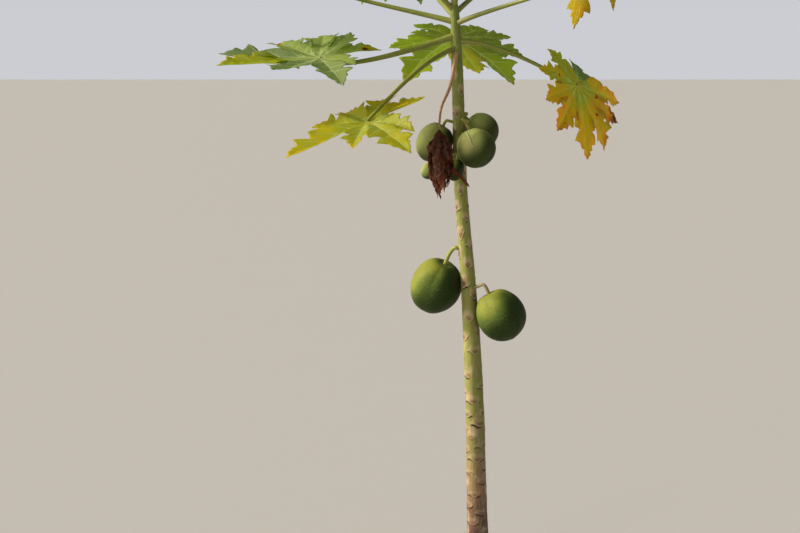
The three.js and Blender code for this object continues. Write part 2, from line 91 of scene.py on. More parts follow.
# %% A value
class Value:
    """A number that a node gives. Python's operators on it add Math nodes to its graph."""

    def __init__(self, graph, socket):
        self.graph = graph
        self.socket = socket

    def maths(self, operation, *others):
        return self.graph.node("ShaderNodeMath", {"operation": operation}, dict(enumerate(others)))[0]

    def __add__(self, other):
        return self.maths("ADD", self, other)

    def __sub__(self, other):
        return self.maths("SUBTRACT", self, other)

    def __rsub__(self, other):
        return self.maths("SUBTRACT", other, self)

    def __mul__(self, other):
        return self.maths("MULTIPLY", self, other)

    def __truediv__(self, other):
        return self.maths("DIVIDE", self, other)

    def __pow__(self, other):
        return self.maths("POWER", self, other)

    __radd__ = __add__
    __rmul__ = __mul__

    def sin(self):
        return self.maths("SINE", self)

    def cos(self):
        return self.maths("COSINE", self)

    def exp(self):
        return self.maths("EXPONENT", self)

    def kept_in(self, low, high):
        return self.maths("MAXIMUM", self.maths("MINIMUM", self, high), low)

    def ease(self, low, high):
        """0 below low, 1 above high, with soft ends. low may be the larger one."""
        sockets = {"Value": self, "From Min": low, "From Max": high}
        return self.graph.node("ShaderNodeMapRange", {"interpolation_type": "SMOOTHSTEP"}, sockets)[0]


class Outputs:
    """A node's outputs as Values, by number or by name."""

    def __init__(self, graph, made):
        self.graph = graph
        self.made = made

    def __getitem__(self, key):
        return Value(self.graph, self.made.outputs[key])


# %% A graph
class Graph:
    """A node tree under construction, of a material or of Geometry Nodes."""

    def __init__(self, tree):
        self.tree = tree

    def node(self, kind, settings=None, sockets=None):
        made = self.tree.nodes.new(kind)
        for key, value in (settings or {}).items():
            setattr(made, key, value)
        for key, value in (sockets or {}).items():
            self.feed(made.inputs[key], value)
        return Outputs(self, made)

    def feed(self, socket, value):
        if isinstance(value, Outputs):
            value = value[0]
        if isinstance(value, Value):
            self.tree.links.new(value.socket, socket)
        else:
            socket.default_value = value

    def parts(self, vector):
        """A vector's numbers, by the names X, Y and Z."""
        return self.node("ShaderNodeSeparateXYZ", {}, {0: vector})

    def vector(self, x=0.0, y=0.0, z=0.0):
        """A vector from its numbers."""
        return self.node("ShaderNodeCombineXYZ", {}, {0: x, 1: y, 2: z})[0]

    def vectors(self, operation, one, other):
        """Vector maths. It gives a number where the operation does, and a vector otherwise."""
        second = "Scale" if operation == "SCALE" else 1
        made = self.node("ShaderNodeVectorMath", {"operation": operation}, {0: one, second: other})
        return made["Value" if operation in ("DOT_PRODUCT", "DISTANCE") else "Vector"]


# %% [markdown]
# ## Colours and finishes
#
# A colour is written as it looks on a screen, such as 8f9a58, and turned into the linear numbers
# that a shader works with. A `Finish` is a material with one Principled shader. Patterns read the
# object's own coordinates in metres, so they stay on the piece, and marks that belong to a place
# on the plant, such as a leaf scar or a vein, are numbers that the mesh carries at each point.

# %% Finishes
def linear(hexadecimal):
    """A screen colour as the linear red, green, blue and alpha of a shader's socket."""
    parts = [int(hexadecimal[i:i + 2], 16) / 255 for i in (0, 2, 4)]
    return (*[(c / 12.92 if c <= 0.04045 else ((c + 0.055) / 1.055) ** 2.4) for c in parts], 1)


class Finish(Graph):
    """A material with a Principled shader, and short ways to make the patterns that feed it."""

    def __init__(self, name, roughness=0.6, specular=0.4, **plain):
        self.material = bpy.data.materials.new(name)
        self.material.use_nodes = True
        self.tree = self.material.node_tree
        self.shader = self.tree.nodes["Principled BSDF"]
        self.place = self.node("ShaderNodeTexCoord")["Object"]
        self.set("Roughness", roughness)
        self.set("Specular IOR Level", specular)
        for key, value in plain.items():
            self.set(key, value)

    def set(self, name, value):
        self.feed(self.shader.inputs[name], value)

    def mark(self, name):
        """A number that the mesh carries at each of its points."""
        return self.node("ShaderNodeAttribute", {"attribute_name": name})["Fac"]

    def noise(self, size, detail=2.0, scale=(1, 1, 1)):
        """Soft noise from 0 to 1, in blotches of about size metres. A scale below 1 draws them out."""
        place = self.node("ShaderNodeMapping", {}, {"Vector": self.place, "Scale": scale})[0]
        sockets = {"Vector": place, "Scale": 1 / size, "Detail": detail}
        return self.node("ShaderNodeTexNoise", {}, sockets)["Fac"]

    def blend(self, one, other, share):
        """Two colours mixed. share is how much of the other."""
        made = self.node("ShaderNodeMix", {"data_type": "RGBA"}, {0: share})
        for socket, colour in ((6, one), (7, other)):
            self.feed(made.made.inputs[socket], linear(colour) if isinstance(colour, str) else colour)
        return made[2]

    def coats(self, base, *coats):
        """A base colour with coats over it, each a colour and how much of it shows."""
        for colour, share in coats:
            base = self.blend(base, colour, share)
        return base

    def ramp(self, value, *stops):
        """A colour for each number: stops are (number, colour) pairs in rising order."""
        made = self.node("ShaderNodeValToRGB", {}, {0: value})
        elements = made.made.color_ramp.elements
        elements[0].position, elements[1].position = stops[0][0], stops[-1][0]
        for position, _ in stops[1:-1]:
            elements.new(position)
        for element, (_, colour) in zip(elements, stops):
            element.color = linear(colour)
        return made["Color"]

    def bump(self, height, distance, under=None):
        """Turns a height from 0 to 1 into a shading normal. distance is the relief in metres."""
        made = self.node("ShaderNodeBump", {}, {"Height": height, "Distance": distance})
        if under is not None:
            self.feed(made.made.inputs["Normal"], under)
        return made["Normal"]

    def see_through(self, colour, normal, share):
        """Lets a share of the light through the piece, in its own colour, as a thin leaf does."""
        glow = self.node("ShaderNodeBsdfTranslucent", {}, {"Color": colour, "Normal": normal})
        plain = Value(self, self.shader.outputs[0])
        both = self.node("ShaderNodeMixShader", {}, {0: share, 1: plain, 2: glow})
        self.feed(self.tree.nodes["Material Output"].inputs["Surface"], both)


# %% [markdown]
# ## Chance that repeats
#
# A plant is regular but never exact. `scatter` gives a number that depends only on its two seeds,
# the same one that the solids used, and `noise_at` gives soft bumps in space, so every run of the
# script grows the same tree.

# %% Chance
def scatter(a, b):
    """A number from -0.5 to 0.5 that depends only on its two seeds."""
    s = math.sin(a * 12.9898 + b * 78.233) * 43758.5453
    return s - math.floor(s) - 0.5


def noise_at(points, size, seed=0):
    """Soft noise from -1 to 1 at each point, with bumps about size metres across."""
    cell = np.floor(points / size)
    part = points / size - cell
    part = part * part * (3 - 2 * part)
    total = np.zeros(len(points))
    for corner in itertools.product((0, 1), repeat=3):
        x, y, z = (cell + corner).T
        s = np.sin(x * 127.1 + y * 311.7 + z * 74.7 + seed * 53.3) * 43758.5453
        share = np.prod(np.where(np.array(corner) == 1, part, 1 - part), axis=1)
        total += share * (s - np.floor(s))
    return 2 * total - 1


def ease(value, low, high):
    """0 below low, 1 above high, with soft ends, for arrays."""
    t = np.clip((value - low) / (high - low), 0, 1)
    return t * t * (3 - 2 * t)


# %% [markdown]
# ## Pieces
#
# Every visible piece is a plain mesh whose object sits at the origin. It rides on the plant's only body, and
# the solids that it stands for are hidden.

# %% Make and declare pieces
def new_mesh(name, points, faces, material, marks=None):
    """An object from arrays. marks holds numbers for each point, by name."""
    mesh = bpy.data.meshes.new(name)
    mesh.from_pydata([tuple(p) for p in points], [], [tuple(f) for f in faces])
    for key, values in (marks or {}).items():
        made = mesh.attributes.new(key, "FLOAT", "POINT")
        made.data.foreach_set("value", np.asarray(values, dtype=np.float32))
    mesh.materials.append(material)
    mesh.polygons.foreach_set("use_smooth", [True] * len(mesh.polygons))
    return new_object(name, mesh)


def declare(piece, slot, *nodes):
    """Puts the piece on the plant's body and hides the solids that it stands for. The slot is not used."""
    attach(piece, "root")
    if nodes:
        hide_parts(*nodes)
    return piece


# %% [markdown]
# ## The trunk's measures
#
# A papaya's trunk is soft and green-barked, and tapers from a flared foot to a thin tip. The
# stations give its height, how far its middle leans along X and its diameter, and a smooth curve
# runs through them.

# %% Trunk measures
TRUNK = (
    (0, 0, 0.098), (0.045, -0.001, 0.080), (0.130, -0.004, 0.070), (0.300, -0.010, 0.063),
    (0.520, -0.017, 0.060), (0.760, -0.029, 0.054), (0.990, -0.045, 0.0455),
    (1.260, -0.069, 0.040), (1.590, -0.082, 0.035), (1.715, -0.088, 0.0315),
    (1.790, -0.093, 0.025), (1.858, -0.097, 0.011),
)
TRUNK_TOP = TRUNK[-1][0]


def trunk_measure(heights, column):
    """The lean (column 1) or the diameter (column 2) at each height."""
    stations = np.array(TRUNK)
    z, values = stations[:, 0], stations[:, column]
    last = len(z) - 1
    before = np.maximum(np.arange(last + 1) - 1, 0)
    after = np.minimum(np.arange(last + 1) + 1, last)
    slopes = (values[after] - values[before]) / (z[after] - z[before])
    i = np.clip(np.searchsorted(z, heights, side="left") - 1, 0, last - 1)
    span = z[i + 1] - z[i]
    t = np.clip((heights - z[i]) / span, 0, 1)
    return (
        values[i] * (2 * t**3 - 3 * t**2 + 1)
        + values[i + 1] * (3 * t**2 - 2 * t**3)
        + slopes[i] * span * (t**3 - 2 * t**2 + t)
        + slopes[i + 1] * span * (t**3 - t**2)
    )


def trunk_centre(height):
    return Vector((float(trunk_measure(np.array([height]), 1)[0]), 0, height))


def trunk_radius(height):
    return float(trunk_measure(np.array([height]), 2)[0]) / 2


# %% [markdown]
# ## Leaf scars
#
# Each fallen leaf leaves a shield-shaped scar with a raised lower lip, and a crease in its shade.
# A papaya sets its leaves on a spiral, each turned from the last by the golden angle, so the scars
# need no list: only how many nodes lie below a few heights, and the angle of the first one. They
# crowd low down, where the plant grew slowly, and are tall and narrow higher up.

# %% Work out the scars
GOLDEN_ANGLE = 137.5
FIRST_SCAR = 27.5  # azimuth of node 0, in degrees
NODES_BELOW = (  # number of a node, its height
    (0, 0.030), (12, 0.194), (20, 0.285), (28, 0.405), (36, 0.523), (41, 0.594), (46, 0.676),
    (49, 0.754), (57, 0.934), (67, 1.120), (85, 1.430), (88, 1.490), (95, 1.645),
)
SCAR_WIDE = 0.0215, 0.0132  # half width of a scar, low down and high up
SCAR_TALL = 0.0130, 0.0200  # and its height
SCARS_CHANGE = 0.55, 1.05  # between these heights they change from one shape to the other
SCAR_OFF_SPIRAL = 0.006, 14  # how much one may lie off its place: up or down, and round in degrees
SCAR_SIZE_VARIES = 0.5
SCAR_SHOWS, SCAR_SHOWS_VARIES = 0.72, 0.56  # how plainly, from 0 to 1
SCAR_LEANS = 0.6


def scar_list():
    """Every scar as height, azimuth, half width, height, how plainly it shows and how it leans."""
    numbers, heights = np.array(NODES_BELOW).T
    scars = []
    for n in range(int(numbers[-1]) + 1):
        height = float(np.interp(n, numbers, heights)) + SCAR_OFF_SPIRAL[0] * scatter(n, 1)
        azimuth = math.radians(FIRST_SCAR + GOLDEN_ANGLE * n + SCAR_OFF_SPIRAL[1] * scatter(n, 2))
        up = float(ease(height, *SCARS_CHANGE))
        size = 1 + SCAR_SIZE_VARIES * scatter(n, 3)
        wide, tall = (size * (low + (high - low) * up) for low, high in (SCAR_WIDE, SCAR_TALL))
        shows = SCAR_SHOWS + SCAR_SHOWS_VARIES * scatter(n, 4)
        scars.append((height, azimuth, wide, tall, shows, SCAR_LEANS * scatter(n, 5)))
    return scars


SCARS = scar_list()
print("leaf scars:", len(SCARS))

# %% [markdown]
# ## The trunk's skin
#
# The relief is real: a fine grid round the trunk is moved in and out by the scars' lips, by faint upright
# ridges and by slow swellings, because a bump alone would leave the outline smooth. Four marks go with the
# mesh for the finish: where a scar's corky plate, its pale lip, its crease and its brown middle are. The
# finish paints the crease nearly black, as painted shade under the lip.

# %% Measures of the relief
LIP = 0.0015  # how far a scar's lower edge stands out
LIP_SHADOW = 0.6  # how deep the crease under it is, as a share of it
PLATE = 0.0006  # how far a scar's plate stands out
CREASE = 0.0022  # half width of the crease under it
CREASE_BY_SHOWING = 0.6, 0.6  # how wide it is on a faint scar, and how much wider on a plain one
CREASE_BY_HEIGHT = 1.25, -0.4  # how wide it is low down, and how much narrower high up
# The next ones are in a scar's half widths and heights.
SCAR_REACH = 1.7, 2.6  # nothing of a scar lies further out or further up
UNEVEN, UNEVEN_WAVES = 0.22, 4  # how far its wings hang askew, and how quickly that changes
LOWER_EDGE = -0.9, 0.5, 0.45, 1.3  # its middle, how far its ends rise, how much more high up, a power
UPPER_EDGE = 0.85, 0.35, 0.28  # the dome's height, and the depth and width of its notch
LIP_FADES = 1.6, 0.6  # out along the wings
PLATE_FADES = 1.2, 0.7
PLATE_TOP_FADES = 0.45, -0.3  # above the dome, and below it
LIP_PATCHY = 0.62, 0.45, 2.4  # how plain it is, how much that varies, and how quickly
LIP_WIDE = 1.6  # in half widths of the crease
PIT_WIDE, PIT_TALL, PIT_DOWN = 0.60, 0.50, 0.42  # the sunken middle
PIT_DEEP = 1.3  # in heights of the plate


def bell(x, width=1):
    """1 at 0, and soon 0 past the width on both sides."""
    return np.exp(-((x / width) ** 2))


# %% Relief of the scars
def scar_relief(height, azimuth, radius):
    """Relief of all the scars on a grid of heights and azimuths, and their plates, lips and so on."""
    relief, plate, lip, crease, pit = (np.zeros_like(height) for _ in range(5))
    for z, a, wide, tall, shows, leans in SCARS:
        turn = (azimuth - a + np.pi) % (2 * np.pi) - np.pi
        u, v = turn * radius / wide, (height - z) / tall
        near = (np.abs(u) < SCAR_REACH[0]) & (np.abs(v) < SCAR_REACH[1])
        u, v = u[near], v[near] + UNEVEN * np.sin(UNEVEN_WAVES * u[near] + 9 * leans) * np.abs(u[near])
        wing = np.abs(u) * (1 + leans * np.sign(u))
        up = ease(z, *SCARS_CHANGE)
        middle, rises, more, power = LOWER_EDGE
        low = (rises + more * up) * wing**power + middle
        dome, notch, notch_wide = UPPER_EDGE
        high = dome * np.sqrt(np.clip(1 - u**2, 0, 1)) * (1 - notch * bell(u, notch_wide))
        above = (v - low) * tall
        patchy = LIP_PATCHY[0] + LIP_PATCHY[1] * np.sin(LIP_PATCHY[2] * u + 20 * leans)
        fade = ease(wing, *LIP_FADES) * shows * patchy
        deep = CREASE * (CREASE_BY_HEIGHT[0] + CREASE_BY_HEIGHT[1] * up)
        deep *= CREASE_BY_SHOWING[0] + CREASE_BY_SHOWING[1] * shows
        edge = bell(above - deep, LIP_WIDE * deep) * fade
        shade = bell(above + deep, deep) * fade
        top = ease(v, high + PLATE_TOP_FADES[0], high + PLATE_TOP_FADES[1])
        on = ease(above, 0, 2 * CREASE) * top * ease(wing, *PLATE_FADES)
        sunk = bell(u, PIT_WIDE) * bell(v - PIT_DOWN * low, PIT_TALL) * on
        relief[near] += LIP * (edge - LIP_SHADOW * shade) + PLATE * (on - PIT_DEEP * sunk)
        for whole, part in ((plate, on * shows), (lip, edge), (crease, shade), (pit, sunk)):
            whole[near] = np.maximum(whole[near], part)
    return relief, plate, lip, crease, pit


# %% The trunk's grid
TRUNK_SIDES = 96
TRUNK_STEP = 0.0022  # between two rings
RIDGES = 0.0003, 0.0055, 0.12  # their height and width, and how much of the height their noise counts
SWELLINGS = 0.0008, 0.045, 0.84
MIDDLING_RADIUS = 0.03  # of the trunk, for the noise round it
TIP_SMOOTH = 0.10  # the relief dies out over this length below the trunk's tip


def trunk_grid():
    """Points of the trunk's skin in rings from the ground up, with their marks."""
    count = round(TRUNK_TOP / TRUNK_STEP)
    heights, turns = np.meshgrid(
        np.linspace(0, TRUNK_TOP, count + 1),
        np.arange(TRUNK_SIDES) * 2 * np.pi / TRUNK_SIDES,
        indexing="ij",
    )
    radius = trunk_measure(heights, 2) / 2
    relief, plate, lip, crease, pit = scar_relief(heights, turns, radius)
    across, ahead = np.cos(turns), np.sin(turns)
    for seed, (tall, wide, rise) in ((5, RIDGES), (6, SWELLINGS)):
        places = np.stack([across * MIDDLING_RADIUS, ahead * MIDDLING_RADIUS, heights * rise], axis=-1)
        relief += tall * noise_at(places.reshape(-1, 3), wide, seed).reshape(heights.shape)
    radius = radius + relief * ease(heights, TRUNK_TOP, TRUNK_TOP - TIP_SMOOTH)
    lean = trunk_measure(heights, 1)
    points = np.stack([lean + radius * across, radius * ahead, heights], axis=-1)
    marks = {"scar": plate, "lip": lip, "crease": crease, "pit": pit}
    return points, {name: values.ravel() for name, values in marks.items()}


def ring_faces(rings, sides):
    """Quads between rings of points that are counted anticlockwise from above, and an end cap each."""
    r, s = np.meshgrid(np.arange(rings - 1), np.arange(sides), indexing="ij")
    a, b = r * sides + s, r * sides + (s + 1) % sides
    quads = np.stack([a, b, b + sides, a + sides], axis=-1).reshape(-1, 4).tolist()
    top = (rings - 1) * sides
    return quads + [list(range(sides))[::-1], list(range(top, top + sides))]


# %% [markdown]
# ## Bark
#
# The bark of a young papaya is a living skin: pale green with a bloom, yellower lower down and brown-pink
# near the ground, with fine upright streaks. Scars are corky tan, and the crease below each is painted
# nearly black as the shade under its lip. The height of the point picks the ground colour, and the marks do
# the rest.

# %% Bark finish
def bark_finish():
    bark = Finish("papaya_bark", roughness=0.62, specular=0.3)
    height = bark.parts(bark.place)["Z"]
    drift = bark.noise(0.09) - 0.5
    base = bark.ramp(
        height / 2 + drift * 0.10,  # the ramp's 0 is the ground and its 1 is 2 m up
        (0.0, "4e342b"), (0.08, "593c32"), (0.105, "644638"), (0.13, "7c5f48"), (0.17, "8a704c"),
        (0.22, "84784a"), (0.28, "848042"), (0.40, "8a8842"), (0.62, "888a42"), (0.80, "7c843a"),
        (0.95, "6c7c32"),
    )
    streaks = bark.noise(0.0050, 4, (1, 1, 0.16))
    blotches = bark.noise(0.026, 4, (1, 1, 0.5))
    patchy = bark.noise(0.0035, 2)
    cork = bark.ramp(patchy, (0.3, "80634a"), (0.5, "a0825f"), (0.7, "ba9c74"))
    plate = bark.mark("scar")
    plainer = 0.26 + 0.42 * height.ease(0.5, 1.1)
    torn = 0.5 + 0.5 * bark.noise(0.008, 2).ease(0.32, 0.52)
    base = bark.coats(
        base,
        ("bfb482", streaks.ease(0.5, 0.74) * 0.32),  # pale streaks, then dark ones
        ("5a5c30", streaks.ease(0.46, 0.28) * 0.32),
        ("b8a082", blotches.ease(0.54, 0.72) * height.ease(1.1, 0.3) * (0.35 + height)),  # cork
        ("7d9040", blotches.ease(0.46, 0.3) * height.ease(0.22, 0.34) * 0.55),  # green skin
        ("6d5a3b", bark.noise(0.0022, 1).ease(0.68, 0.8) * 0.4),  # specks
        (cork, (plate - (patchy - 0.4)).ease(0.0, 0.6) * plainer),  # the scars' plates
        ("d2be9c", plate * (1 - plate) * plainer * 2),  # and their edges
        ("6f4a2c", (bark.mark("pit") + (patchy - 0.5) * 0.9).ease(0.22, 0.78) * 0.72),
        ("d2bb98", bark.mark("lip") * (0.10 + 0.38 * height.ease(0.25, 0.8))),
        # painted shade in the crease under each scar's lip, broken up by noise
        ("38220f", bark.mark("crease").ease(0.06, 0.45) * torn),
    )
    bark.set("Base Color", base)
    relief = bark.bump(streaks, 0.0004)
    bark.set("Normal", bark.bump(bark.noise(0.0018, 2), 0.0003, relief))
    return bark.material


# %% Grow the trunk
bark = bark_finish()
skin, trunk_marks = trunk_grid()
rings = len(skin)
trunk = new_mesh("trunk_skin", skin.reshape(-1, 3), ring_faces(rings, TRUNK_SIDES), bark, trunk_marks)
declare(trunk, "bark", "trunk")
print("trunk skin:", rings, "rings of", TRUNK_SIDES)

# %% [markdown]
# ## The leaves' measures
#
# The table repeats the solids' numbers, oldest leaf first. A stalk leaves the trunk at `node`
# towards `azimuth`, sloping up by `rise`, and meets its blade at `reach` from the trunk's middle and
# at `height`. `radius` is the longest lobe, more or less. The middle lobe points to `aim`, and the
# blade's upper side looks to `face`. `lobes` is how many there are, and `curl` how many degrees they
# bend down at their tips: the middle one, and those square to it on its left and right. The five
# oldest leaves list each lobe instead, from the right edge to the left: its turn from `aim`, its
# length and how far its tip has bent down. `over` marks a blade that its stalk comes down to from
# above. `ages` says how each lobe has aged, also from the right, or how all of them have: 0 is deep
# green, 0.45 yellow-green, 0.7 golden and 1 brown. `spots` are the places that have aged on their
# own: the lobe's number, how far along and across it in shares of its length, the spot's radius, and
# its age. `sinus` and `cup` are for the leaves that are cut or folded more than the others, and
# `slim` is how broad a withered leaf's lobes still are.

# %% Leaf measures
SINUS = 0.43  # how deep the gaps between lobes go, as a share of the lobes
CUP = 0.16  # how steeply a lobe's halves rise from its midrib


Leaf = namedtuple(
    "Leaf", "name node azimuth rise reach height radius aim face lobes curl over ages slot spots sinus"
    " cup slim", defaults=(9, (0, 0, 0), False, (0.22,), "leaf_green", (), SINUS, CUP, 1))
LEAVES = (
    Leaf("low_left", 1.681, 224, -12, 0.360, 1.470, 0.262, (195, -19), (216, 70), over=True,
         lobes=((-164, 0.203, 0), (-124, 0.201, 0), (-88, 0.219, 0), (-49, 0.201, 0), (12, 0.266, 0),
                (58, 0.178, 14), (96, 0.276, 20), (116, 0.187, 20), (142, 0.098, 0)),
         ages=(0.47, 0.47, 0.45, 0.45, 0.45, 0.43, 0.42, 0.41, 0.39), slot="leaf_yellow_green",
         spots=((5, 0.98, 0, 0.020, 0.56), (1, 0.98, 0, 0.014, 0.62)), cup=0.42),
    Leaf("low_right", 1.699, 350, 2, 0.360, 1.571, 0.234, (294, -62), (317, 26),
         lobes=((-145, 0.138, 11), (-104, 0.152, 16), (-66, 0.163, 12), (-37, 0.196, 19),
                (0, 0.230, 14), (33, 0.219, 23), (64, 0.205, 6), (86, 0.222, 9), (148, 0.143, 35)),
         ages=(0.40, 0.46, 0.54, 0.57, 0.54, 0.56, 0.64, 0.56, 0.10), slot="leaf_golden",
         spots=((7, 0.40, -0.06, 0.006, 0.98), (6, 0.42, 0.05, 0.007, 0.98), (5, 0.50, 0.07, 0.006, 0.98),
                (6, 0.82, 0.10, 0.018, 0.84), (6, 0.90, 0.02, 0.014, 0.95), (1, 0.47, -0.03, 0.006, 0.95),
                (3, 0.80, 0.05, 0.004, 0.95), (2, 0.62, 0.10, 0.005, 0.92), (4, 0.64, 0.16, 0.005, 0.92))),
    Leaf("back_low", 1.704, 88, 12, 0.415, 1.723, 0.300, (79, -22), (71, 68),
         lobes=((-136, 0.188, 14), (-105, 0.206, 11), (-69, 0.250, 8), (-38, 0.317, 24),
                (-10, 0.303, 0), (42, 0.325, 33), (72, 0.252, 6), (106, 0.151, 7), (141, 0.183, 13)),
         ages=(0.35, 0.33, 0.31, 0.35, 0.43, 0.36, 0.35, 0.35, 0.35), sinus=0.36),
    Leaf("mid_left", 1.716, 186, -18, 0.407, 1.650, 0.322, (168, -1), (256, 75),
         lobes=((-138, 0.212, 5), (-103, 0.213, -14), (-78, 0.290, -1), (-45, 0.268, 1),
                (-1, 0.317, -8), (32, 0.310, -9), (73, 0.250, -14), (119, 0.269, 11),
                (144, 0.168, -2)),
         ages=(0.34, 0.30, 0.32, 0.30, 0.06, 0.40, 0.14, 0.22, 0.34),
         spots=((0, 0.95, 0, 0.050, 0.48), (0, 0.77, 0.02, 0.018, 0.86), (0, 0.74, 0.02, 0.008, 0.97),
                (3, 0.97, 0, 0.018, 0.82), (5, 0.62, 0.02, 0.012, 0.66)), sinus=0.38, cup=0.26),
    Leaf("front_right", 1.750, 320, 18, 0.463, 1.876, 0.205, (318, -10), (300, 72),
         lobes=((-142, 0.120, 31), (-103, 0.150, 50), (-65, 0.265, 60), (-25, 0.165, 72),
                (4, 0.192, 22), (34, 0.200, 28), (69, 0.178, 35), (103, 0.146, 35), (140, 0.113, 23)),
         ages=(0.52, 0.53, 0.53, 0.54, 0.55, 0.57, 0.56, 0.54, 0.52), slot="leaf_golden", slim=0.55),
    Leaf("high_left", 1.755, 168, 15, 0.480, 1.906, 0.240, (212, 0), (172, 94), curl=(30, 44, 44)),
    Leaf("back_left", 1.769, 111, 26, 0.370, 1.960, 0.240, (114, -6), (114, 84), curl=(50, 64, 64)),
    Leaf("back_right", 1.780, 30, 40, 0.330, 2.010, 0.222, (28, -10), (28, 80), curl=(46, 50, 50)),
    Leaf("upper_left", 1.787, 204, 44, 0.285, 2.030, 0.206, (206, -6), (206, 84), curl=(50, 56, 56)),
    Leaf("upper_front", 1.799, 282, 52, 0.240, 2.062, 0.186, (282, 0), (282, 90), 7, (48, 52, 52)),
    Leaf("upper_back", 1.805, 74, 56, 0.200, 2.098, 0.168, (74, 8), (74, 98), 7, (46, 48, 48)),
    Leaf("upper_right", 1.819, 340, 60, 0.165, 2.110, 0.146, (346, 14), (346, 104), 7, (42, 44, 44)),
    Leaf("young_left", 1.827, 160, 66, 0.112, 2.112, 0.118, (160, 26), (160, 116), 7, (34, 36, 36)),
    Leaf("young_front", 1.835, 262, 72, 0.074, 2.076, 0.088, (262, 40), (262, 130), 7, (20, 24, 24)),
    Leaf("young_back", 1.843, 40, 78, 0.046, 2.020, 0.066, (40, 54), (40, 144), 7, (8, 12, 12)),
)


def direction(azimuth, elevation):
    """The unit vector at an azimuth and an elevation in degrees."""
    a, e = math.radians(azimuth), math.radians(elevation)
    return Vector((math.cos(a) * math.cos(e), math.sin(a) * math.cos(e), math.sin(e)))


def blade_frame(leaf):
    """A blade's joint with its stalk, and its own axes: ahead, to the left, and up."""
    joint = trunk_centre(leaf.node) + direction(leaf.azimuth, 0) * leaf.reach
    joint.z = leaf.height
    forward = direction(*leaf.aim)
    normal = direction(*leaf.face)
    normal = (normal - forward * normal.dot(forward)).normalized()
    return joint, forward, normal.cross(forward), normal


# %% [markdown]
# ## Stalks by Geometry Nodes
#
# A leaf stalk, a fruit stalk and the dead stalk are all the same thing: a round limb along a path,
# swollen at its foot and thinning to its tip. One Geometry Nodes tree makes them all. It gives the
# path a radius at each point by that rule, cuts off the first bit, which lies inside the trunk, and
# sweeps a circle along the rest. The share of the way along is kept as a mark for the finish.

# %% Geometry Nodes helpers
def geometry_graph(name, inputs):
    """A Geometry Nodes tree with these inputs, given as name: (kind, value)."""
    tree = bpy.data.node_groups.new(name, "GeometryNodeTree")
    tree.interface.new_socket("Geometry", in_out="INPUT", socket_type="NodeSocketGeometry")
    tree.interface.new_socket("Geometry", in_out="OUTPUT", socket_type="NodeSocketGeometry")
    for key, (kind, value) in inputs.items():
        made = tree.interface.new_socket(key, in_out="INPUT", socket_type="NodeSocket" + kind)
        if value is not None:
            made.default_value = value
    graph = Graph(tree)
    return graph, graph.node("NodeGroupInput")


def with_marks(graph, geometry, **marks):
    """The geometry with a number at each point under each name."""
    for name, value in marks.items():
        geometry = graph.node(
            "GeometryNodeStoreNamedAttribute", {"data_type": "FLOAT", "domain": "POINT"},
            {"Geometry": geometry, "Name": name, "Value": value},
        )
    return geometry


def pushed_out(graph, geometry, distance):
    """The geometry with each point moved along its normal."""
    push = graph.vectors("SCALE", graph.node("GeometryNodeInputNormal")[0], distance)
    return graph.node("GeometryNodeSetPosition", {}, {"Geometry": geometry, "Offset": push})


def close_graph(graph, geometry, material):
    """Ends a tree in smooth, realized geometry with its material."""
    smooth = graph.node("GeometryNodeSetShadeSmooth", {}, {"Geometry": geometry})
    real = graph.node("GeometryNodeRealizeInstances", {}, {"Geometry": smooth})
    finished = graph.node("GeometryNodeSetMaterial", {}, {"Geometry": real, "Material": material})
    graph.node("NodeGroupOutput", {}, {"Geometry": finished})


def grow(name, source, graph, values):
    """Runs a tree on the source object, and gives the result as a plain mesh at the origin."""
    modifier = source.modifiers.new("growth", "NODES")
    modifier.node_group = graph.tree
    for item in graph.tree.interface.items_tree:
        if item.in_out == "INPUT" and item.name in values:
            modifier[item.identifier] = values[item.name]
    bpy.context.view_layer.update()
    depsgraph = bpy.context.evaluated_depsgraph_get()
    mesh = bpy.data.meshes.new_from_object(
        source.evaluated_get(depsgraph), preserve_all_data_layers=True, depsgraph=depsgraph)
    mesh.name = name
    source.modifiers.remove(modifier)
    bpy.data.objects.remove(source)
    return new_object(name, mesh)


# %% The tree that makes a stalk
WRINKLES_A_METRE = 190.0


def stalk_graph():
    graph, given = geometry_graph("stalk growth", {
        "Steps": ("Int", 60), "Sides": ("Int", 20), "Foot radius": ("Float", 0.008),
        "Tip radius": ("Float", 0.005), "Taper": ("Float", 1.4), "Swell": ("Float", 0.2),
        "Fade": ("Float", 0.05), "Flare": ("Float", 0.0), "Start": ("Float", 0.0),
        "Wrinkle": ("Float", 0.0), "Skin": ("Material", None),
    })
    path = graph.node("GeometryNodeResampleCurve", {}, {
        "Curve": given["Geometry"], "Count": given["Steps"]})
    along = graph.node("GeometryNodeSplineParameter")["Factor"]
    foot, tip = given["Foot radius"], given["Tip radius"]
    thin = tip + (foot - tip) * (1 - along) ** given["Taper"]
    swollen = thin + foot * given["Swell"] * (0 - along / given["Fade"]).exp()
    radius = swollen + tip * given["Flare"] * along ** 4
    shaped = graph.node("GeometryNodeSetCurveRadius", {}, {"Curve": path, "Radius": radius})
    marked = with_marks(graph, shaped, along=along)
    cut = graph.node("GeometryNodeTrimCurve", {"mode": "FACTOR"}, {
        "Curve": marked, "Start": given["Start"]})
    circle = graph.node("GeometryNodeCurvePrimitiveCircle", {}, {
        "Resolution": given["Sides"], "Radius": 1.0})
    limb = graph.node("GeometryNodeCurveToMesh", {}, {
        "Curve": cut, "Profile Curve": circle, "Scale": graph.node("GeometryNodeInputRadius"),
        "Fill Caps": True})
    rough = graph.node("ShaderNodeTexNoise", {}, {"Scale": WRINKLES_A_METRE, "Detail": 2.0})["Fac"]
    worn = pushed_out(graph, limb, (rough - 0.5) * given["Wrinkle"])
    close_graph(graph, worn, given["Skin"])
    return graph


stalks_by_rule = stalk_graph()


# %% Paths for the stalks
PATH_STEPS = 40  # in a Bezier stretch
ROOTED = 0.003  # how deep under the trunk's skin a stalk starts


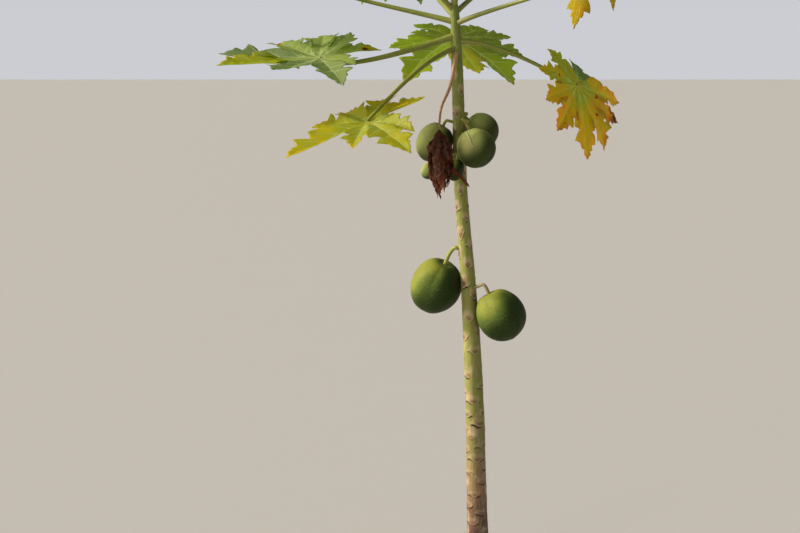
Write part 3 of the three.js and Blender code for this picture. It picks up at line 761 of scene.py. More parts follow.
def path_object(points, handles=None):
    """A curve object through points, or one Bezier stretch if handles are given."""
    data = bpy.data.curves.new("path", "CURVE")
    data.dimensions = "3D"
    spline = data.splines.new("BEZIER" if handles else "POLY")
    if handles:
        spline.bezier_points.add(1)
        data.resolution_u = PATH_STEPS
        for end, place, handle in zip(spline.bezier_points, points, handles):
            end.handle_left_type = end.handle_right_type = "FREE"
            end.co = place
            end.handle_left = end.handle_right = handle
    else:
        spline.points.add(len(points) - 1)
        for target, place in zip(spline.points, points):
            target.co = (*place, 1)
    return new_object("path", data)


def start_inside(points):
    """The share of a path at which it leaves the trunk."""
    walked = np.concatenate([[0], np.cumsum([(b - a).length for a, b in zip(points, points[1:])])])
    for place, far in zip(points, walked):
        height = min(place.z, TRUNK_TOP)
        out = math.hypot(place.x - trunk_centre(height).x, place.y)
        if out > trunk_radius(height) - ROOTED:
            return float(far / walked[-1])
    return 0.0


# %% [markdown]
# ## Leaf stalks
#
# A papaya's leaf stalk is a long hollow pipe, smooth, olive above and yellower where the sun lies
# on it, with a swollen foot that clasps the trunk. Its path is a single Bezier stretch: it leaves
# the trunk at its own slope, and hooks up under the blade at the end.

# %% Stalk finish
def stalk_finish(name, foot, middle, tip, freckle):
    """A smooth skin whose colour runs from foot to tip."""
    skin = Finish(name, roughness=0.45, specular=0.4)
    along = skin.mark("along")
    drift = skin.noise(0.05) - 0.5
    base = skin.ramp(along + drift * 0.2, (0.02, foot), (0.22, middle), (0.95, tip))
    grain = skin.noise(0.004, 3)
    base = skin.blend(base, freckle, grain.ease(0.5, 0.72) * 0.45)
    skin.set("Base Color", base)
    skin.set("Normal", skin.bump(grain, 0.0003))
    return skin.material


# %% One leaf stalk
STALK_FOOT = (0.003, 0.022)  # radius at the foot: a length, plus a share of the blade's radius
STALK_TIP = (0.0008, 0.016)
STRAIGHT_REACH = 0.36  # how far the path's first handle reaches, as a share of the way to the blade
HOOK_REACH = 0.16  # and its second one
HOOK = (0.75, 0.65)  # how it meets the blade: square to it, and along it
HOOK_OVER = (-0.45, 0.89)  # the same where it comes from above
SAMPLES = 400  # points along the path that look for the trunk's skin


def bezier(a, b, c, d, t):
    return a * (1 - t) ** 3 + b * 3 * t * (1 - t) ** 2 + c * 3 * t**2 * (1 - t) + d * t**3


def leaf_stalk(leaf, skin):
    """One leaf's stalk, from just under the trunk's skin to just under its blade."""
    joint, forward, _, normal = blade_frame(leaf)
    start = trunk_centre(leaf.node)
    length = (joint - start).length
    root = start + direction(leaf.azimuth, leaf.rise) * STRAIGHT_REACH * length
    out, ahead = HOOK_OVER if leaf.over else HOOK
    hook = joint - (normal * out + forward * ahead).normalized() * HOOK_REACH * length
    tip = STALK_TIP[0] + STALK_TIP[1] * leaf.radius
    end = joint + normal * tip if leaf.over else joint
    samples = [bezier(start, root, hook, end, t / SAMPLES) for t in range(SAMPLES + 1)]
    values = {
        "Foot radius": STALK_FOOT[0] + STALK_FOOT[1] * leaf.radius,
        "Tip radius": tip,
        "Start": start_inside(samples),
        "Skin": skin,
    }
    path = path_object((start, end), (root, hook))
    return grow(f"stalk_skin_{leaf.name}", path, stalks_by_rule, values)


# %% Grow the leaf stalks
olive_stalk = stalk_finish("leaf_stalk_olive", "868840", "727a2a", "84882e", "a2a058")
for one in LEAVES:
    declare(leaf_stalk(one, olive_stalk), "leaf_stalk", f"stalk_{one.name}")
print("leaf stalks:", len(LEAVES))

# %% [markdown]
# ## Leaf blades: the outline
#
# A papaya blade is cut deeply into lobes, and each lobe again into pointed teeth. A lobe's side is
# drawn as shares of its length, along and across. The four bold points are those of the solids,
# and the finer teeth lie between them. The margin bulges on its way out to a tooth and is hollow
# on its way back, so a few points give a lively outline.

# %% Lobes and their outlines
LOBE_PLANS = {  # half of a blade from its longest lobe back: lobe angles, and lengths
    9: ((0, 33, 67, 102, 142), (1, 0.96, 0.87, 0.74, 0.58)),
    7: ((0, 39, 81, 129), (1, 0.93, 0.78, 0.56)),
}
LOBE_TURN_VARIES = 5  # degrees
LOBE_LENGTH_VARIES = 0.14
TOOTH_VARIES, FINE_TOOTH_VARIES = 0.25, 0.2
WAVE, WAVES = 0.2, 5  # how much the lobes' curl varies round the blade, and how quickly
LOBE_SIDE = (  # along, across, number in the solids' rule or None for a finer point, is a tooth
    (0.595, 0.216, 0, True),
    (0.632, 0.124, 1, False),
    (0.784, 0.224, 2, True),
    (0.802, 0.116, None, False),
    (0.876, 0.120, None, True),
    (0.888, 0.072, 3, False),
    (0.948, 0.052, None, True),
    (0.956, 0.028, None, False),
)
BULGE_OUT, BULGE_BACK = 0.09, -0.07  # of the margin, as shares of its way to and from a tooth


def lobes_of(leaf, seed):
    """The blade's lobes from its right edge to its left: number, angle, length, bend a metre."""
    if not isinstance(leaf.lobes, int):
        return [(i, math.radians(turn), length, math.radians(curl) / length)
                for i, (turn, length, curl) in enumerate(leaf.lobes)]
    angles, lengths = LOBE_PLANS[leaf.lobes]
    last = len(angles) - 1
    ahead, left, right = leaf.curl
    lobes = []
    for k in range(-last, last + 1):
        turn = math.radians(math.copysign(angles[abs(k)], k) + LOBE_TURN_VARIES * scatter(seed, k))
        share = lengths[abs(k)] * (1 + LOBE_LENGTH_VARIES * scatter(seed + 40, k))
        aside = right if math.sin(turn) < 0 else left
        curl = (ahead + (aside - ahead) * abs(math.sin(turn))) * (1 + WAVE * math.sin(WAVES * turn + seed))
        length = leaf.radius * min(share, 1)
        lobes.append((k + last, turn, length, math.radians(curl) / leaf.radius))
    return lobes


def lobe_side(number, seed, hand, length, room):
    """Points of a lobe's margin from its first tooth to just before its tip, and the teeth's tips."""
    points, teeth = [], []
    for j, (along, across, bold, tooth) in enumerate(LOBE_SIDE):
        if bold is None:
            vary = 1 + FINE_TOOTH_VARIES * scatter(seed + 7 * number, hand * (j + 20))
        else:
            vary = 1 + TOOTH_VARIES * scatter(seed + number, hand * (bold + 2))
        point = np.array([along, hand * across * vary * room]) * length
        points.append((point, tooth))
        if bold in (0, 2):
            teeth.append(point)
    return points, teeth


def margin(start, side, tip, hand, step):
    """The margin from the gap beside a lobe to its tip, as points about step apart."""
    stops = [(start, False), *side, (tip, True)]
    line = []
    for (a, _), (b, rising) in zip(stops, stops[1:]):
        way = b - a
        out = np.array([-way[1], way[0]]) * hand * (BULGE_OUT if rising else BULGE_BACK)
        count = max(int(np.hypot(*way) / step), 2)
        for i in range(count):
            t = i / count
            line.append(a + way * t + out * 4 * t * (1 - t))
    return line


def from_lobe(turn, r, a):
    """A point at distance r and angle a from the joint, in the axes of the lobe at angle turn."""
    return np.array([r * math.cos(a - turn), r * math.sin(a - turn)])


# %% [markdown]
# ## Leaf blades: the sheet
#
# Each lobe is filled with small triangles by a constrained Delaunay triangulation. It keeps the margin as
# edges and lays rows of points along the veins, so a vein can be raised as a real rib, and it needs no grid
# that fits the shape. A lobe is cut along straight lines from the joint to the gaps beside it, and its
# neighbour is cut along the same lines, so the lobes weld into one sheet.

# %% Points inside an outline, and near a line
def inside(points, outline):
    """Which points lie inside a closed outline."""
    x, y = points[:, :1], points[:, 1:]
    a, b = outline, np.roll(outline, -1, axis=0)
    crosses = (a[:, 1] > y) != (b[:, 1] > y)
    with np.errstate(divide="ignore", invalid="ignore"):
        reach = (b[:, 0] - a[:, 0]) * (y - a[:, 1]) / (b[:, 1] - a[:, 1]) + a[:, 0]
    return (crosses & (x < reach)).sum(axis=1) % 2 == 1


def away_from(points, a, b):
    """Each point's distance from each stretch a to b, and how far along that stretch it lies."""
    way = b - a
    t = ((points[:, None] - a) * way).sum(-1) / np.maximum((way**2).sum(-1), 1e-12)
    t = np.clip(t, 0, 1)
    gap = points[:, None] - (a + t[..., None] * way)
    return np.hypot(gap[..., 0], gap[..., 1]), t


def turned(flat, face):
    """Twice a triangle's signed area: above 0 if it runs anticlockwise."""
    (ax, ay), (bx, by), (cx, cy) = flat[face[0]], flat[face[1]], flat[face[2]]
    return (bx - ax) * (cy - ay) - (by - ay) * (cx - ax)


# %% Veins of a lobe
VEIN_BACK = 1.05  # how far back of its tooth a side vein leaves the midrib, for each metre across
MIDRIB = 0.985, 0.0135  # how much of its way a vein runs, and half its width as a share of the lobe
SIDE_VEIN = 0.97, 0.0065
GAP_VEIN = 0.86, 0.0060
LOW_VEIN = 0.8, 0.0045
GAP_VEIN_LEAVES = 0.45  # where it leaves the midrib, as a share of the gap's distance
LOW_VEIN_LEAVES, LOW_VEIN_AIMS = 0.13, 0.62  # as a share of the lobe; towards this share of the gap


def lobe_veins(length, teeth, gaps):
    """Veins of a lobe, as their starts, their ends and their half widths at the start."""
    def vein(leaves, end, share, wide):
        start = np.array([leaves, 0])
        return start, start + (end - start) * share, wide * length

    veins = [vein(0, np.array([length, 0]), *MIDRIB)]
    veins += [vein(tooth[0] - VEIN_BACK * abs(tooth[1]), tooth, *SIDE_VEIN) for tooth in teeth]
    for gap in gaps:
        veins.append(vein(GAP_VEIN_LEAVES * gap[0], gap, *GAP_VEIN))
        veins.append(vein(LOW_VEIN_LEAVES * length, gap * LOW_VEIN_AIMS, *LOW_VEIN))
    return tuple(np.array(part) for part in zip(*veins))


# %% Fill a lobe with triangles
GRAIN = 1 / 54  # size of the triangles, as a share of the longest lobe
ROW_GAP, MARGIN_GAP = 0.87, 0.8  # between rows of triangles and points of the margin, in grains
FIELD_OFF_RIM, FIELD_OFF_VEIN, VEIN_OFF_RIM = 0.5, 0.45, 0.3  # least gaps, in grains
SEAM_POINTS = 8  # along the cut from the joint to the gap beside a lobe
WIDEST = 0.6  # half the width in which a lobe's points are looked for, as a share of its length
SAME_POINT = 1e-7, 3e-5  # metres between points that are one: in a lobe, and where lobes meet


def lobe_sheet(lobe, gap_right, gap_left, rooms, seed, step):
    """One flat lobe in its own axes: points, triangles, its veins, and the outer margin's stretches."""
    def clear(points, gap, *stretches):
        return points[away_from(points, *stretches)[0].min(axis=1) > gap * step]

    number, turn, length, _ = lobe
    starts = [from_lobe(turn, *gap_right), from_lobe(turn, *gap_left)]
    tip = np.array([length, 0.0])
    lines, teeth = [], []
    for hand, start, room in zip((-1, 1), starts, rooms):
        side, found = lobe_side(number, seed, hand, length, room)
        lines.append(margin(start, side, tip, hand, step * MARGIN_GAP))
        teeth += found
    seams = [[start * i / SEAM_POINTS for i in range(SEAM_POINTS)] for start in starts]
    outer = lines[0] + [tip] + lines[1][::-1]
    outline = np.array(seams[0] + outer + seams[1][:0:-1])
    rim = outline, np.roll(outline, -1, axis=0)
    froms, ends, wide = lobe_veins(length, teeth, starts)
    veined = []
    for a, b in zip(froms, ends):
        count = max(int(np.hypot(*(b - a)) / step), 2)
        veined += [a + (b - a) * i / count for i in range(1, count + 1)]
    veined = np.array(veined)
    veined = clear(veined[inside(veined, outline)], VEIN_OFF_RIM, *rim)
    rows = np.arange(-WIDEST * length, WIDEST * length, step * ROW_GAP)
    field = np.array([(x + (i % 2) * step / 2, y) for i, y in enumerate(rows)
                      for x in np.arange(0, length, step)])
    field = clear(field[inside(field, outline)], FIELD_OFF_RIM, *rim)
    field = clear(field, FIELD_OFF_VEIN, froms, ends)
    points = [Vector(p) for p in np.concatenate([outline, veined, field])]
    made = delaunay_2d_cdt(points, [], [list(range(len(outline)))], 1, SAME_POINT[0])
    flat = np.array([tuple(p) for p in made[0]])
    faces = [f if turned(flat, f) > 0 else f[::-1] for f in made[2]]
    return flat, faces, (froms, ends, wide), np.array(outer)


# %% [markdown]
# ## Leaf blades: the bend, the age and the thickness
#
# The flat sheet is bent by the solids' own rule: each lobe curls down towards its tip and folds up
# a little along its midrib. On that come what only a closer look shows: the skin is quilted
# between its veins, the margin waves, and lobes that would touch pass over one another. Age goes
# with the mesh as a mark: it is set for each lobe, leads at the margin and lags along the veins.

# %% Bend a lobe
STRAIGHT = 1e-6  # a bend a metre below this counts as none
FLUTTER_WAVES = 26, 19  # of the margin: ahead and aside
# The next ones are shares of the blade's radius.
SOFT_FOLD = 0.012  # how round a lobe's fold along its midrib is
FREE_LOBE = 0.34, 0.6  # between these distances from the joint, the lobes come free of each other
STEPS_OVER = 0.012  # how far each second lobe lies above its neighbours
QUILT, QUILT_REACH = 0.006, 0.02  # how far the skin swells between its veins, and how near to them
RIPPLE, RIPPLE_SIZE, RIPPLE_GROWS = 0.010, 0.16, 0.5
FLUTTER, FLUTTER_REACH = 0.008, 0.03  # of the margin


def bent_at(lobes, a):
    """How much the blade bends down in each direction: what its lobes do, and evenly between."""
    turns, bends = (np.array([lobe[i] for lobe in lobes]) for i in (1, 3))
    i = np.clip(np.searchsorted(turns, a) - 1, 0, len(lobes) - 2)
    share = ease(a, turns[i], turns[i + 1])
    bent = bends[i] + (bends[i + 1] - bends[i]) * share
    return np.where(np.abs(bent) < STRAIGHT, STRAIGHT, bent)


def bend(leaf, axes, seed, lobes, lobe, flat, vein_gap, rim_gap):
    """Where the points of a flat lobe lie on the grown leaf."""
    joint, forward, side, normal = (np.array(v) for v in axes)
    number, turn, _, _ = lobe
    radius = leaf.radius
    r = np.hypot(flat[:, 0], flat[:, 1])
    a = np.arctan2(flat[:, 1], flat[:, 0]) + turn
    curl = bent_at(lobes, a)
    out, drop = np.sin(curl * r) / curl, (1 - np.cos(curl * r)) / curl
    soft = SOFT_FOLD * radius
    fold = leaf.cup * (np.sqrt(flat[:, 1] ** 2 + soft**2) - soft)
    free = ease(r, FREE_LOBE[0] * radius, FREE_LOBE[1] * radius)
    places = np.stack([r * np.cos(a), r * np.sin(a), np.full_like(r, seed)], axis=1)
    quilt = QUILT * radius * (1 - np.exp(-vein_gap / (QUILT_REACH * radius)))
    ripple = noise_at(places, RIPPLE_SIZE * radius, seed) * RIPPLE * radius
    ripple = ripple * ease(r, 0, RIPPLE_GROWS * radius)
    flutter = np.sin(places[:, 0] * FLUTTER_WAVES[0] / radius + places[:, 1] * FLUTTER_WAVES[1] / radius)
    flutter = flutter * FLUTTER * radius * np.exp(-rim_gap / (FLUTTER_REACH * radius)) * free
    over = (1 if number % 2 else -1) * STEPS_OVER * radius * free
    rise = fold - drop + quilt + ripple + flutter + over
    return (
        joint + np.outer(out * np.cos(a), forward) + np.outer(out * np.sin(a), side)
        + np.outer(rise, normal)
    )


# %% Age a lobe
OWN_AGE_FROM, OWN_AGE_PAST = 0.10, 0.42  # shares of a lobe between which its own age takes over
RIPE = 0.35, 0.62  # ages between which a leaf starts to turn unevenly
MARGIN_LEADS, MARGIN_REACH = (0.02, 0.05), 0.035  # by how much, green and ripe, and how far in
VEINS_LAG, VEINS_REACH = (0.02, 0.09), 0.022
BLOTCH, BLOTCH_SIZE = (0.03, 0.07), 0.030
FINE_BLOTCH, FINE_BLOTCH_SIZE = 0.022, 0.009
LEADS_OUTWARDS = 0.16
TIP_LEADS, TIP_STARTS = 0.08, 0.90  # this much more, past this share of the lobe
SPOT_RAGGED, SPOT_NOISE, SPOT_CORE = 0.35, 0.008, 0.45


def age_marks(leaf, seed, lobe, flat, vein_gap, rim_gap, bent):
    """How old each point of a lobe looks, from 0, deep green, to 1, brown."""
    number, _, length, _ = lobe
    whole = sum(leaf.ages) / len(leaf.ages)
    r = np.hypot(flat[:, 0], flat[:, 1])
    its_age = leaf.ages[number % len(leaf.ages)]
    own = whole + (its_age - whole) * ease(r, OWN_AGE_FROM * length, OWN_AGE_PAST * length)
    ripe = ease(own, *RIPE)
    rim, vein = (np.exp(-gap / (reach * leaf.radius)) for gap, reach in (
        (rim_gap, MARGIN_REACH), (vein_gap, VEINS_REACH)))
    outwards = LEADS_OUTWARDS * (r / length - 0.5) + TIP_LEADS * ease(r / length, TIP_STARTS, 1)
    age = own + ripe * outwards
    age += (MARGIN_LEADS[0] + MARGIN_LEADS[1] * ripe) * rim
    age -= (VEINS_LAG[0] + VEINS_LAG[1] * ripe) * vein
    age += (BLOTCH[0] + BLOTCH[1] * ripe) * noise_at(bent, BLOTCH_SIZE, seed + 3)
    age += FINE_BLOTCH * noise_at(bent, FINE_BLOTCH_SIZE, seed)
    for where, along, across, size, old in leaf.spots:
        if where == number:
            gap = np.hypot(flat[:, 0] - along * length, flat[:, 1] - across * length)
            gap += noise_at(bent, SPOT_NOISE, seed + 9) * size * SPOT_RAGGED
            age += (old - age) * ease(gap, size, size * SPOT_CORE)
    return np.clip(age, 0, 1)


# %% Weld lobes, and close an edge
def weld(points, faces, marks):
    """Joins the points that lie in one place, and keeps their marks."""
    mesh = bpy.data.meshes.new("sheet")
    mesh.from_pydata(points, [], faces)
    for key, values in marks.items():
        mesh.attributes.new(key, "FLOAT", "POINT").data.foreach_set("value", values)
    work = bmesh.new()
    work.from_mesh(mesh)
    bmesh.ops.remove_doubles(work, verts=work.verts, dist=SAME_POINT[1])
    work.to_mesh(mesh)
    work.free()
    places = np.array([v.co for v in mesh.vertices])
    normals = np.array([v.normal for v in mesh.vertices])
    kept = {key: np.array([d.value for d in mesh.attributes[key].data]) for key in marks}
    welded = [tuple(p.vertices) for p in mesh.polygons]
    bpy.data.meshes.remove(mesh)
    return places, normals, welded, kept


def rim_faces(faces, count):
    """Quads that close the edge between a sheet and its copy count points further on."""
    ways = {(f[i], f[(i + 1) % 3]) for f in faces for i in range(3)}
    return [(b, a, a + count, b + count) for a, b in ways if (b, a) not in ways]


# %% One whole blade
LOBE_ROOM = 33  # degrees from one lobe to the next at which they still grow to full width
WEBBED = 38, 0.0045  # past this angle between two lobes, the gap is shallower by so much a degree
BACK_SINUS = 0.09  # where the gap behind the joint ends, as a share of the blade's radius
SHEET = 0.0007  # thickness of the blade
RIB = 0.0019, 0.3  # how far the midrib stands out under it, at the joint of a blade of this radius
VEIN_THINS = 0.70  # how much of its width a vein loses on its way
RIB_BLUNT, RIB_SPREAD = 1.3, 2.2  # how broad a rib's top is, and how wide its foot
VEINLESS = 9  # the vein mark's largest value, in half widths of a vein


def gaps_and_rooms(leaf, lobes):
    """The gaps beside the lobes, as distance and angle, and how much of its width a lobe has there."""
    gaps, rooms = [], []
    for (_, a, first, _), (_, b, second, _) in zip(lobes, lobes[1:]):
        wide = max(math.degrees(b - a) - WEBBED[0], 0)
        gaps.append(((leaf.sinus + WEBBED[1] * wide) * (first + second) / 2, (a + b) / 2))
        rooms.append(min((b - a) / math.radians(LOBE_ROOM), 1) * leaf.slim)
    back = BACK_SINUS * leaf.radius
    return [(back, -math.pi), *gaps, (back, math.pi)], [1, *rooms, 1]


def blade(leaf, seed, material):
    """A whole leaf blade: its lobes bent, welded and given a thickness, with ribs below."""
    axes = blade_frame(leaf)
    lobes = lobes_of(leaf, seed)
    step = leaf.radius * GRAIN
    gaps, rooms = gaps_and_rooms(leaf, lobes)
    points, faces, marks, count = [], [], {"vein": [], "rib": [], "age": []}, 0
    for i, lobe in enumerate(lobes):
        flat, made, veins, outer = lobe_sheet(lobe, gaps[i], gaps[i + 1], rooms[i:i + 2], seed, step)
        far, share = away_from(flat, *veins[:2])
        wide = veins[2] * (1 - VEIN_THINS * share)
        vein_gap = far.min(axis=1)
        rim_gap = away_from(flat, outer[:-1], outer[1:])[0].min(axis=1)
        bent = bend(leaf, axes, seed, lobes, lobe, flat, vein_gap, rim_gap)
        ribs = wide / (MIDRIB[1] * leaf.radius) * np.clip(RIB_BLUNT - far / (wide * RIB_SPREAD), 0, 1)
        faces += [tuple(i + count for i in f) for f in made]
        count += len(flat)
        points.append(bent)
        marks["vein"].append(np.clip((far / wide).min(axis=1), 0, VEINLESS))
        marks["rib"].append(ribs.max(axis=1))
        marks["age"].append(age_marks(leaf, seed, lobe, flat, vein_gap, rim_gap, bent))
    marks = {key: np.concatenate(values) for key, values in marks.items()}
    places, normals, faces, marks = weld(np.concatenate(points), faces, marks)
    count = len(places)
    top = places + normals * SHEET / 2
    below = places - normals * (SHEET / 2 + RIB[0] * leaf.radius / RIB[1] * marks.pop("rib"))[:, None]
    both = {key: np.concatenate([values, values]) for key, values in marks.items()}
    both["under"] = np.repeat([0, 1], count)
    shell = faces + [tuple(i + count for i in f[::-1]) for f in faces] + rim_faces(faces, count)
    return new_mesh(f"blade_skin_{leaf.name}", np.concatenate([top, below]), shell, material, both)


# %% [markdown]
# ## Leaf finish
#
# One rule colours every leaf: the age mark picks the colour, from deep green over yellow-green and
# gold to brown. The veins are paler than a green leaf and greener than a yellow one. The underside
# is duller and lighter, and a share of the light comes through the blade, so a leaf with the sun
# behind it glows. The slots for green, yellow-green and golden leaves share this rule, and differ
# in how warm they are.

# %% Leaf finishes
def leaf_finish(name, warmth):
    """The finish of a leaf's both sides. warmth shifts all its colours towards gold."""
    skin = Finish(name, roughness=0.5, specular=0.45)
    age, vein, under = skin.mark("age"), skin.mark("vein"), skin.mark("under")
    base = skin.ramp(
        age,
        (0.0, "3a542a"), (0.12, "4e6c2c"), (0.25, "6e882e"), (0.36, "8c9c26"), (0.47, "acaa14"),
        (0.58, "c6b012"), (0.68, "d0a014"), (0.78, "bf781a"), (0.88, "864818"), (1.0, "482412"),
    )
    net = skin.node("ShaderNodeTexVoronoi", {"feature": "DISTANCE_TO_EDGE"}, {
        "Vector": skin.place, "Scale": 150.0})["Distance"]
    pale = skin.ramp(age, (0.22, "e0e6b8"), (0.34, "ccd284"), (0.5, "bcba48"), (0.75, "98922c"))
    base = skin.coats(
        base,
        ("b9b850", net.ease(0.12, 0.0) * 0.14),  # the net of fine veins
        (pale, vein.ease(1.6, 0.7) * 0.9),
        ("9aa548", under * 0.15),
        ("c2c898", (1 - under) * age.ease(0.44, 0.30) * 0.42),  # painted sheen: the sky's reflection on a green leaf's upper side, painted paler
    )
    if warmth:
        base = skin.blend(base, "d09c10", warmth)
    skin.set("Base Color", base)
    skin.set("Roughness", under * 0.32 + 0.4)
    fine = skin.bump(net.ease(0.0, 0.2), 0.0005)
    normal = skin.bump(vein.ease(1.6, 0.4) * 0.6, 0.0007, fine)
    skin.set("Normal", normal)
    through = skin.ramp(
        age, (0.1, "9cc824"), (0.35, "d8f010"), (0.5, "fff004"), (0.7, "ffc800"), (0.9, "7a3a10"))
    skin.see_through(skin.blend(through, base, 0.2), normal, 0.55)
    return skin.material


LEAF_FINISHES = {
    "leaf_green": leaf_finish("papaya_leaf_green", 0),
    "leaf_yellow_green": leaf_finish("papaya_leaf_yellow_green", 0.06),
    "leaf_golden": leaf_finish("papaya_leaf_golden", 0.08),
}

# %% Grow the blades
triangles = 0
for seed, one in enumerate(LEAVES):
    made = blade(one, seed, LEAF_FINISHES[one.slot])
    declare(made, one.slot, f"blade_{one.name}")
    triangles += sum(len(face.vertices) - 2 for face in made.data.polygons)
print("blades:", len(LEAVES), "triangles:", triangles)

# %% [markdown]
# ## The growing tip
#
# New leaves come out folded like a closed umbrella: slim pleated buds on short stalks. They stand
# on the same spiral as the scars, each turned by the golden angle, and the inner ones are younger,
# smaller and more upright. Geometry Nodes suit such a rule: one bud is made, and set on each point
# of a short line up the tip with a turn, a lean and a size that follow from the point's number.

# %% The tree that makes the growing tip
POLE_GAP = 1e-5  # points nearer than this are one
BUD_AGE = 0.2, 0.12  # at its foot, and how much older its tip is
BUD_VEINS = 2.2  # how quickly its vein mark grows away from the ridges of its pleats
BUD_FULLEST = 0.8  # below 1, a bud is fullest below its middle
BUD_ENDS = 40, 14  # how bluntly its foot and its tip close
INNER_UPRIGHT, INNER_SMALLER = 0.9, 0.5  # by how much the innermost bud differs from the outermost


def flat_grid(graph, columns, rows):
    """A flat grid to wrap round something, the way round in radians, and the way along, -0.5 to 0.5."""
    grid = graph.node("GeometryNodeMeshGrid", {}, {
        "Size X": 1.0, "Size Y": 1.0, "Vertices X": columns, "Vertices Y": rows})
    spot = graph.parts(graph.node("GeometryNodeInputPosition"))
    return grid["Mesh"], (spot["X"] + 0.5) * (2 * math.pi), spot["Y"]


def wrapped(graph, grid, way_round, radius, height):
    """The grid wrapped to a radius and a height at each point, with its seam and poles closed."""
    place = graph.vector(radius * way_round.cos(), radius * way_round.sin(), height)
    shaped = graph.node("GeometryNodeSetPosition", {}, {"Geometry": grid, "Position": place})
    return graph.node("GeometryNodeMergeByDistance", {}, {"Geometry": shaped, "Distance": POLE_GAP})


def tip_graph():
    graph, given = geometry_graph("tip growth", {
        "Buds": ("Int", 9), "Turn": ("Float", math.radians(GOLDEN_ANGLE)), "Lean": ("Float", 0.95),
        "Length": ("Float", 0.066), "Girth": ("Float", 0.0062), "Pleats": ("Float", 5.0),
        "Pleat depth": ("Float", 0.24), "Stalk": ("Float", 0.0017), "Stalk share": ("Float", 0.45),
        "Rise": ("Float", 0.003), "Place": ("Vector", (0, 0, 0)), "Skin": ("Material", None),
    })
    grid, way_round, along = flat_grid(graph, 41, 33)
    along = along + 0.5
    pleated = (way_round * given["Pleats"]).cos()
    marked = with_marks(
        graph, grid, age=BUD_AGE[0] + along * BUD_AGE[1], vein=(1 - pleated) * BUD_VEINS)
    up_bud = ((along - given["Stalk share"]) / (1 - given["Stalk share"])).kept_in(0, 1)
    bud = (up_bud ** BUD_FULLEST * math.pi).sin() * given["Girth"] * (1 + given["Pleat depth"] * pleated)
    ends = (along * BUD_ENDS[0]).kept_in(0, 1) * ((1 - along) * BUD_ENDS[1]).kept_in(0, 1)
    radius = (bud + given["Stalk"] * (1 - along * 0.5)) * ends
    one = wrapped(graph, marked, way_round, radius, along * given["Length"])
    number = graph.node("GeometryNodeInputIndex")[0]
    inner = number / given["Buds"]
    higher = graph.vector(z=number * given["Rise"])
    spots = graph.node("GeometryNodePoints", {}, {
        "Count": given["Buds"], "Position": graph.vectors("ADD", given["Place"], higher)})
    lean = given["Lean"] * (1 - inner * INNER_UPRIGHT)
    angles = graph.vector(y=lean, z=number * given["Turn"])
    buds = graph.node("GeometryNodeInstanceOnPoints", {}, {
        "Points": spots, "Instance": one, "Scale": 1 - inner * INNER_SMALLER,
        "Rotation": graph.node("FunctionNodeEulerToRotation", {}, {"Euler": angles})})
    close_graph(graph, buds, given["Skin"])
    return graph


# %% Grow the tip
TIP_BASE = 1.830  # height at which the lowest bud leaves the trunk


def nothing():
    """An empty mesh, for a tree that needs no shape to start from."""
    return new_object("seed", bpy.data.meshes.new("seed"))


buds = grow("growing_tip", nothing(), tip_graph(), {
    "Place": trunk_centre(TIP_BASE), "Skin": LEAF_FINISHES["leaf_green"]})
declare(buds, "leaf_green", "trunk")
print("growing tip:", len(buds.data.polygons), "faces")

# %% [markdown]
# ## Fruits by Geometry Nodes
#
# A papaya fruit is a rule in itself: a round body with five faint ribs, a hollow where the stalk
# goes in and a blunt far end. A grid is wrapped round that shape: one way round the axis, the other
# from stem to tip. Its seam and its poles are then merged. The tree turns the fruit to its own
# stem direction and puts it in its place, so one tree with named inputs makes all seven.

# %% The tree that makes a fruit
BLOSSOM = 0.10, 0.012  # the dent at the far end: its reach in radians, and its depth in lengths
GROOVE_REACH = 1.4  # radians from the stem end at which the grooves have faded
GROOVE_NARROW = 8  # the higher, the narrower they are
LUMPS_A_METRE = 14.0


def fruit_graph():
    graph, given = geometry_graph("fruit growth", {
        "Width": ("Float", 0.15), "Length": ("Float", 0.17), "Taper": ("Float", 0.03),
        "Ribs": ("Float", 5.0), "Rib height": ("Float", 0.028), "Dimple": ("Float", 0.07),
        "Dimple reach": ("Float", 0.36), "Unevenness": ("Float", 0.012), "Seed": ("Float", 0.0),
        "Turn": ("Rotation", None), "Place": ("Vector", (0, 0, 0)), "Skin": ("Material", None),
        "Painted light from": ("Vector", (-1, 0, 0)), "Bloom": ("Float", 0.3), "Groove": ("Float", 0.018),
    })
    grid, way_round, along = flat_grid(graph, 91, 61)
    along = (0.5 - along) * math.pi
    hollow = (0 - (along / given["Dimple reach"]) ** 2).exp() * given["Dimple"] * given["Length"]
    blossom = (0 - ((math.pi - along) / BLOSSOM[0]) ** 2).exp() * given["Length"] * BLOSSOM[1]
    girth = given["Width"] * 0.5 * along.sin() * (1 - given["Taper"] * along.cos())
    ribs = (way_round * given["Ribs"]).cos()
    groove = (0.5 - 0.5 * ribs) ** GROOVE_NARROW * (0 - (along / GROOVE_REACH) ** 4).exp() * given["Groove"]
    ribbed = girth * (1 + given["Rib height"] * ribs - groove)
    height = given["Length"] * 0.5 * along.cos() - hollow - blossom
    closed = wrapped(graph, grid, way_round, ribbed, height)
    lumps = graph.node("ShaderNodeTexNoise", {"noise_dimensions": "4D"}, {
        "Scale": LUMPS_A_METRE, "Detail": 1.0, "W": given["Seed"]})["Fac"]
    uneven = pushed_out(graph, closed, (lumps - 0.5) * given["Unevenness"] * given["Width"])
    put = graph.node("GeometryNodeTransform", {}, {
        "Geometry": uneven, "Translation": given["Place"], "Rotation": given["Turn"]})
    normal = graph.node("GeometryNodeInputNormal")[0]
    # Painted light and shade: how squarely each point faces one fixed light direction, kept as a mark for
    # the finish.
    sunny = graph.vectors("DOT_PRODUCT", normal, given["Painted light from"])
    close_graph(graph, with_marks(graph, put, sunny=sunny, bloom=given["Bloom"]), given["Skin"])
    return graph


fruits_by_rule = fruit_graph()
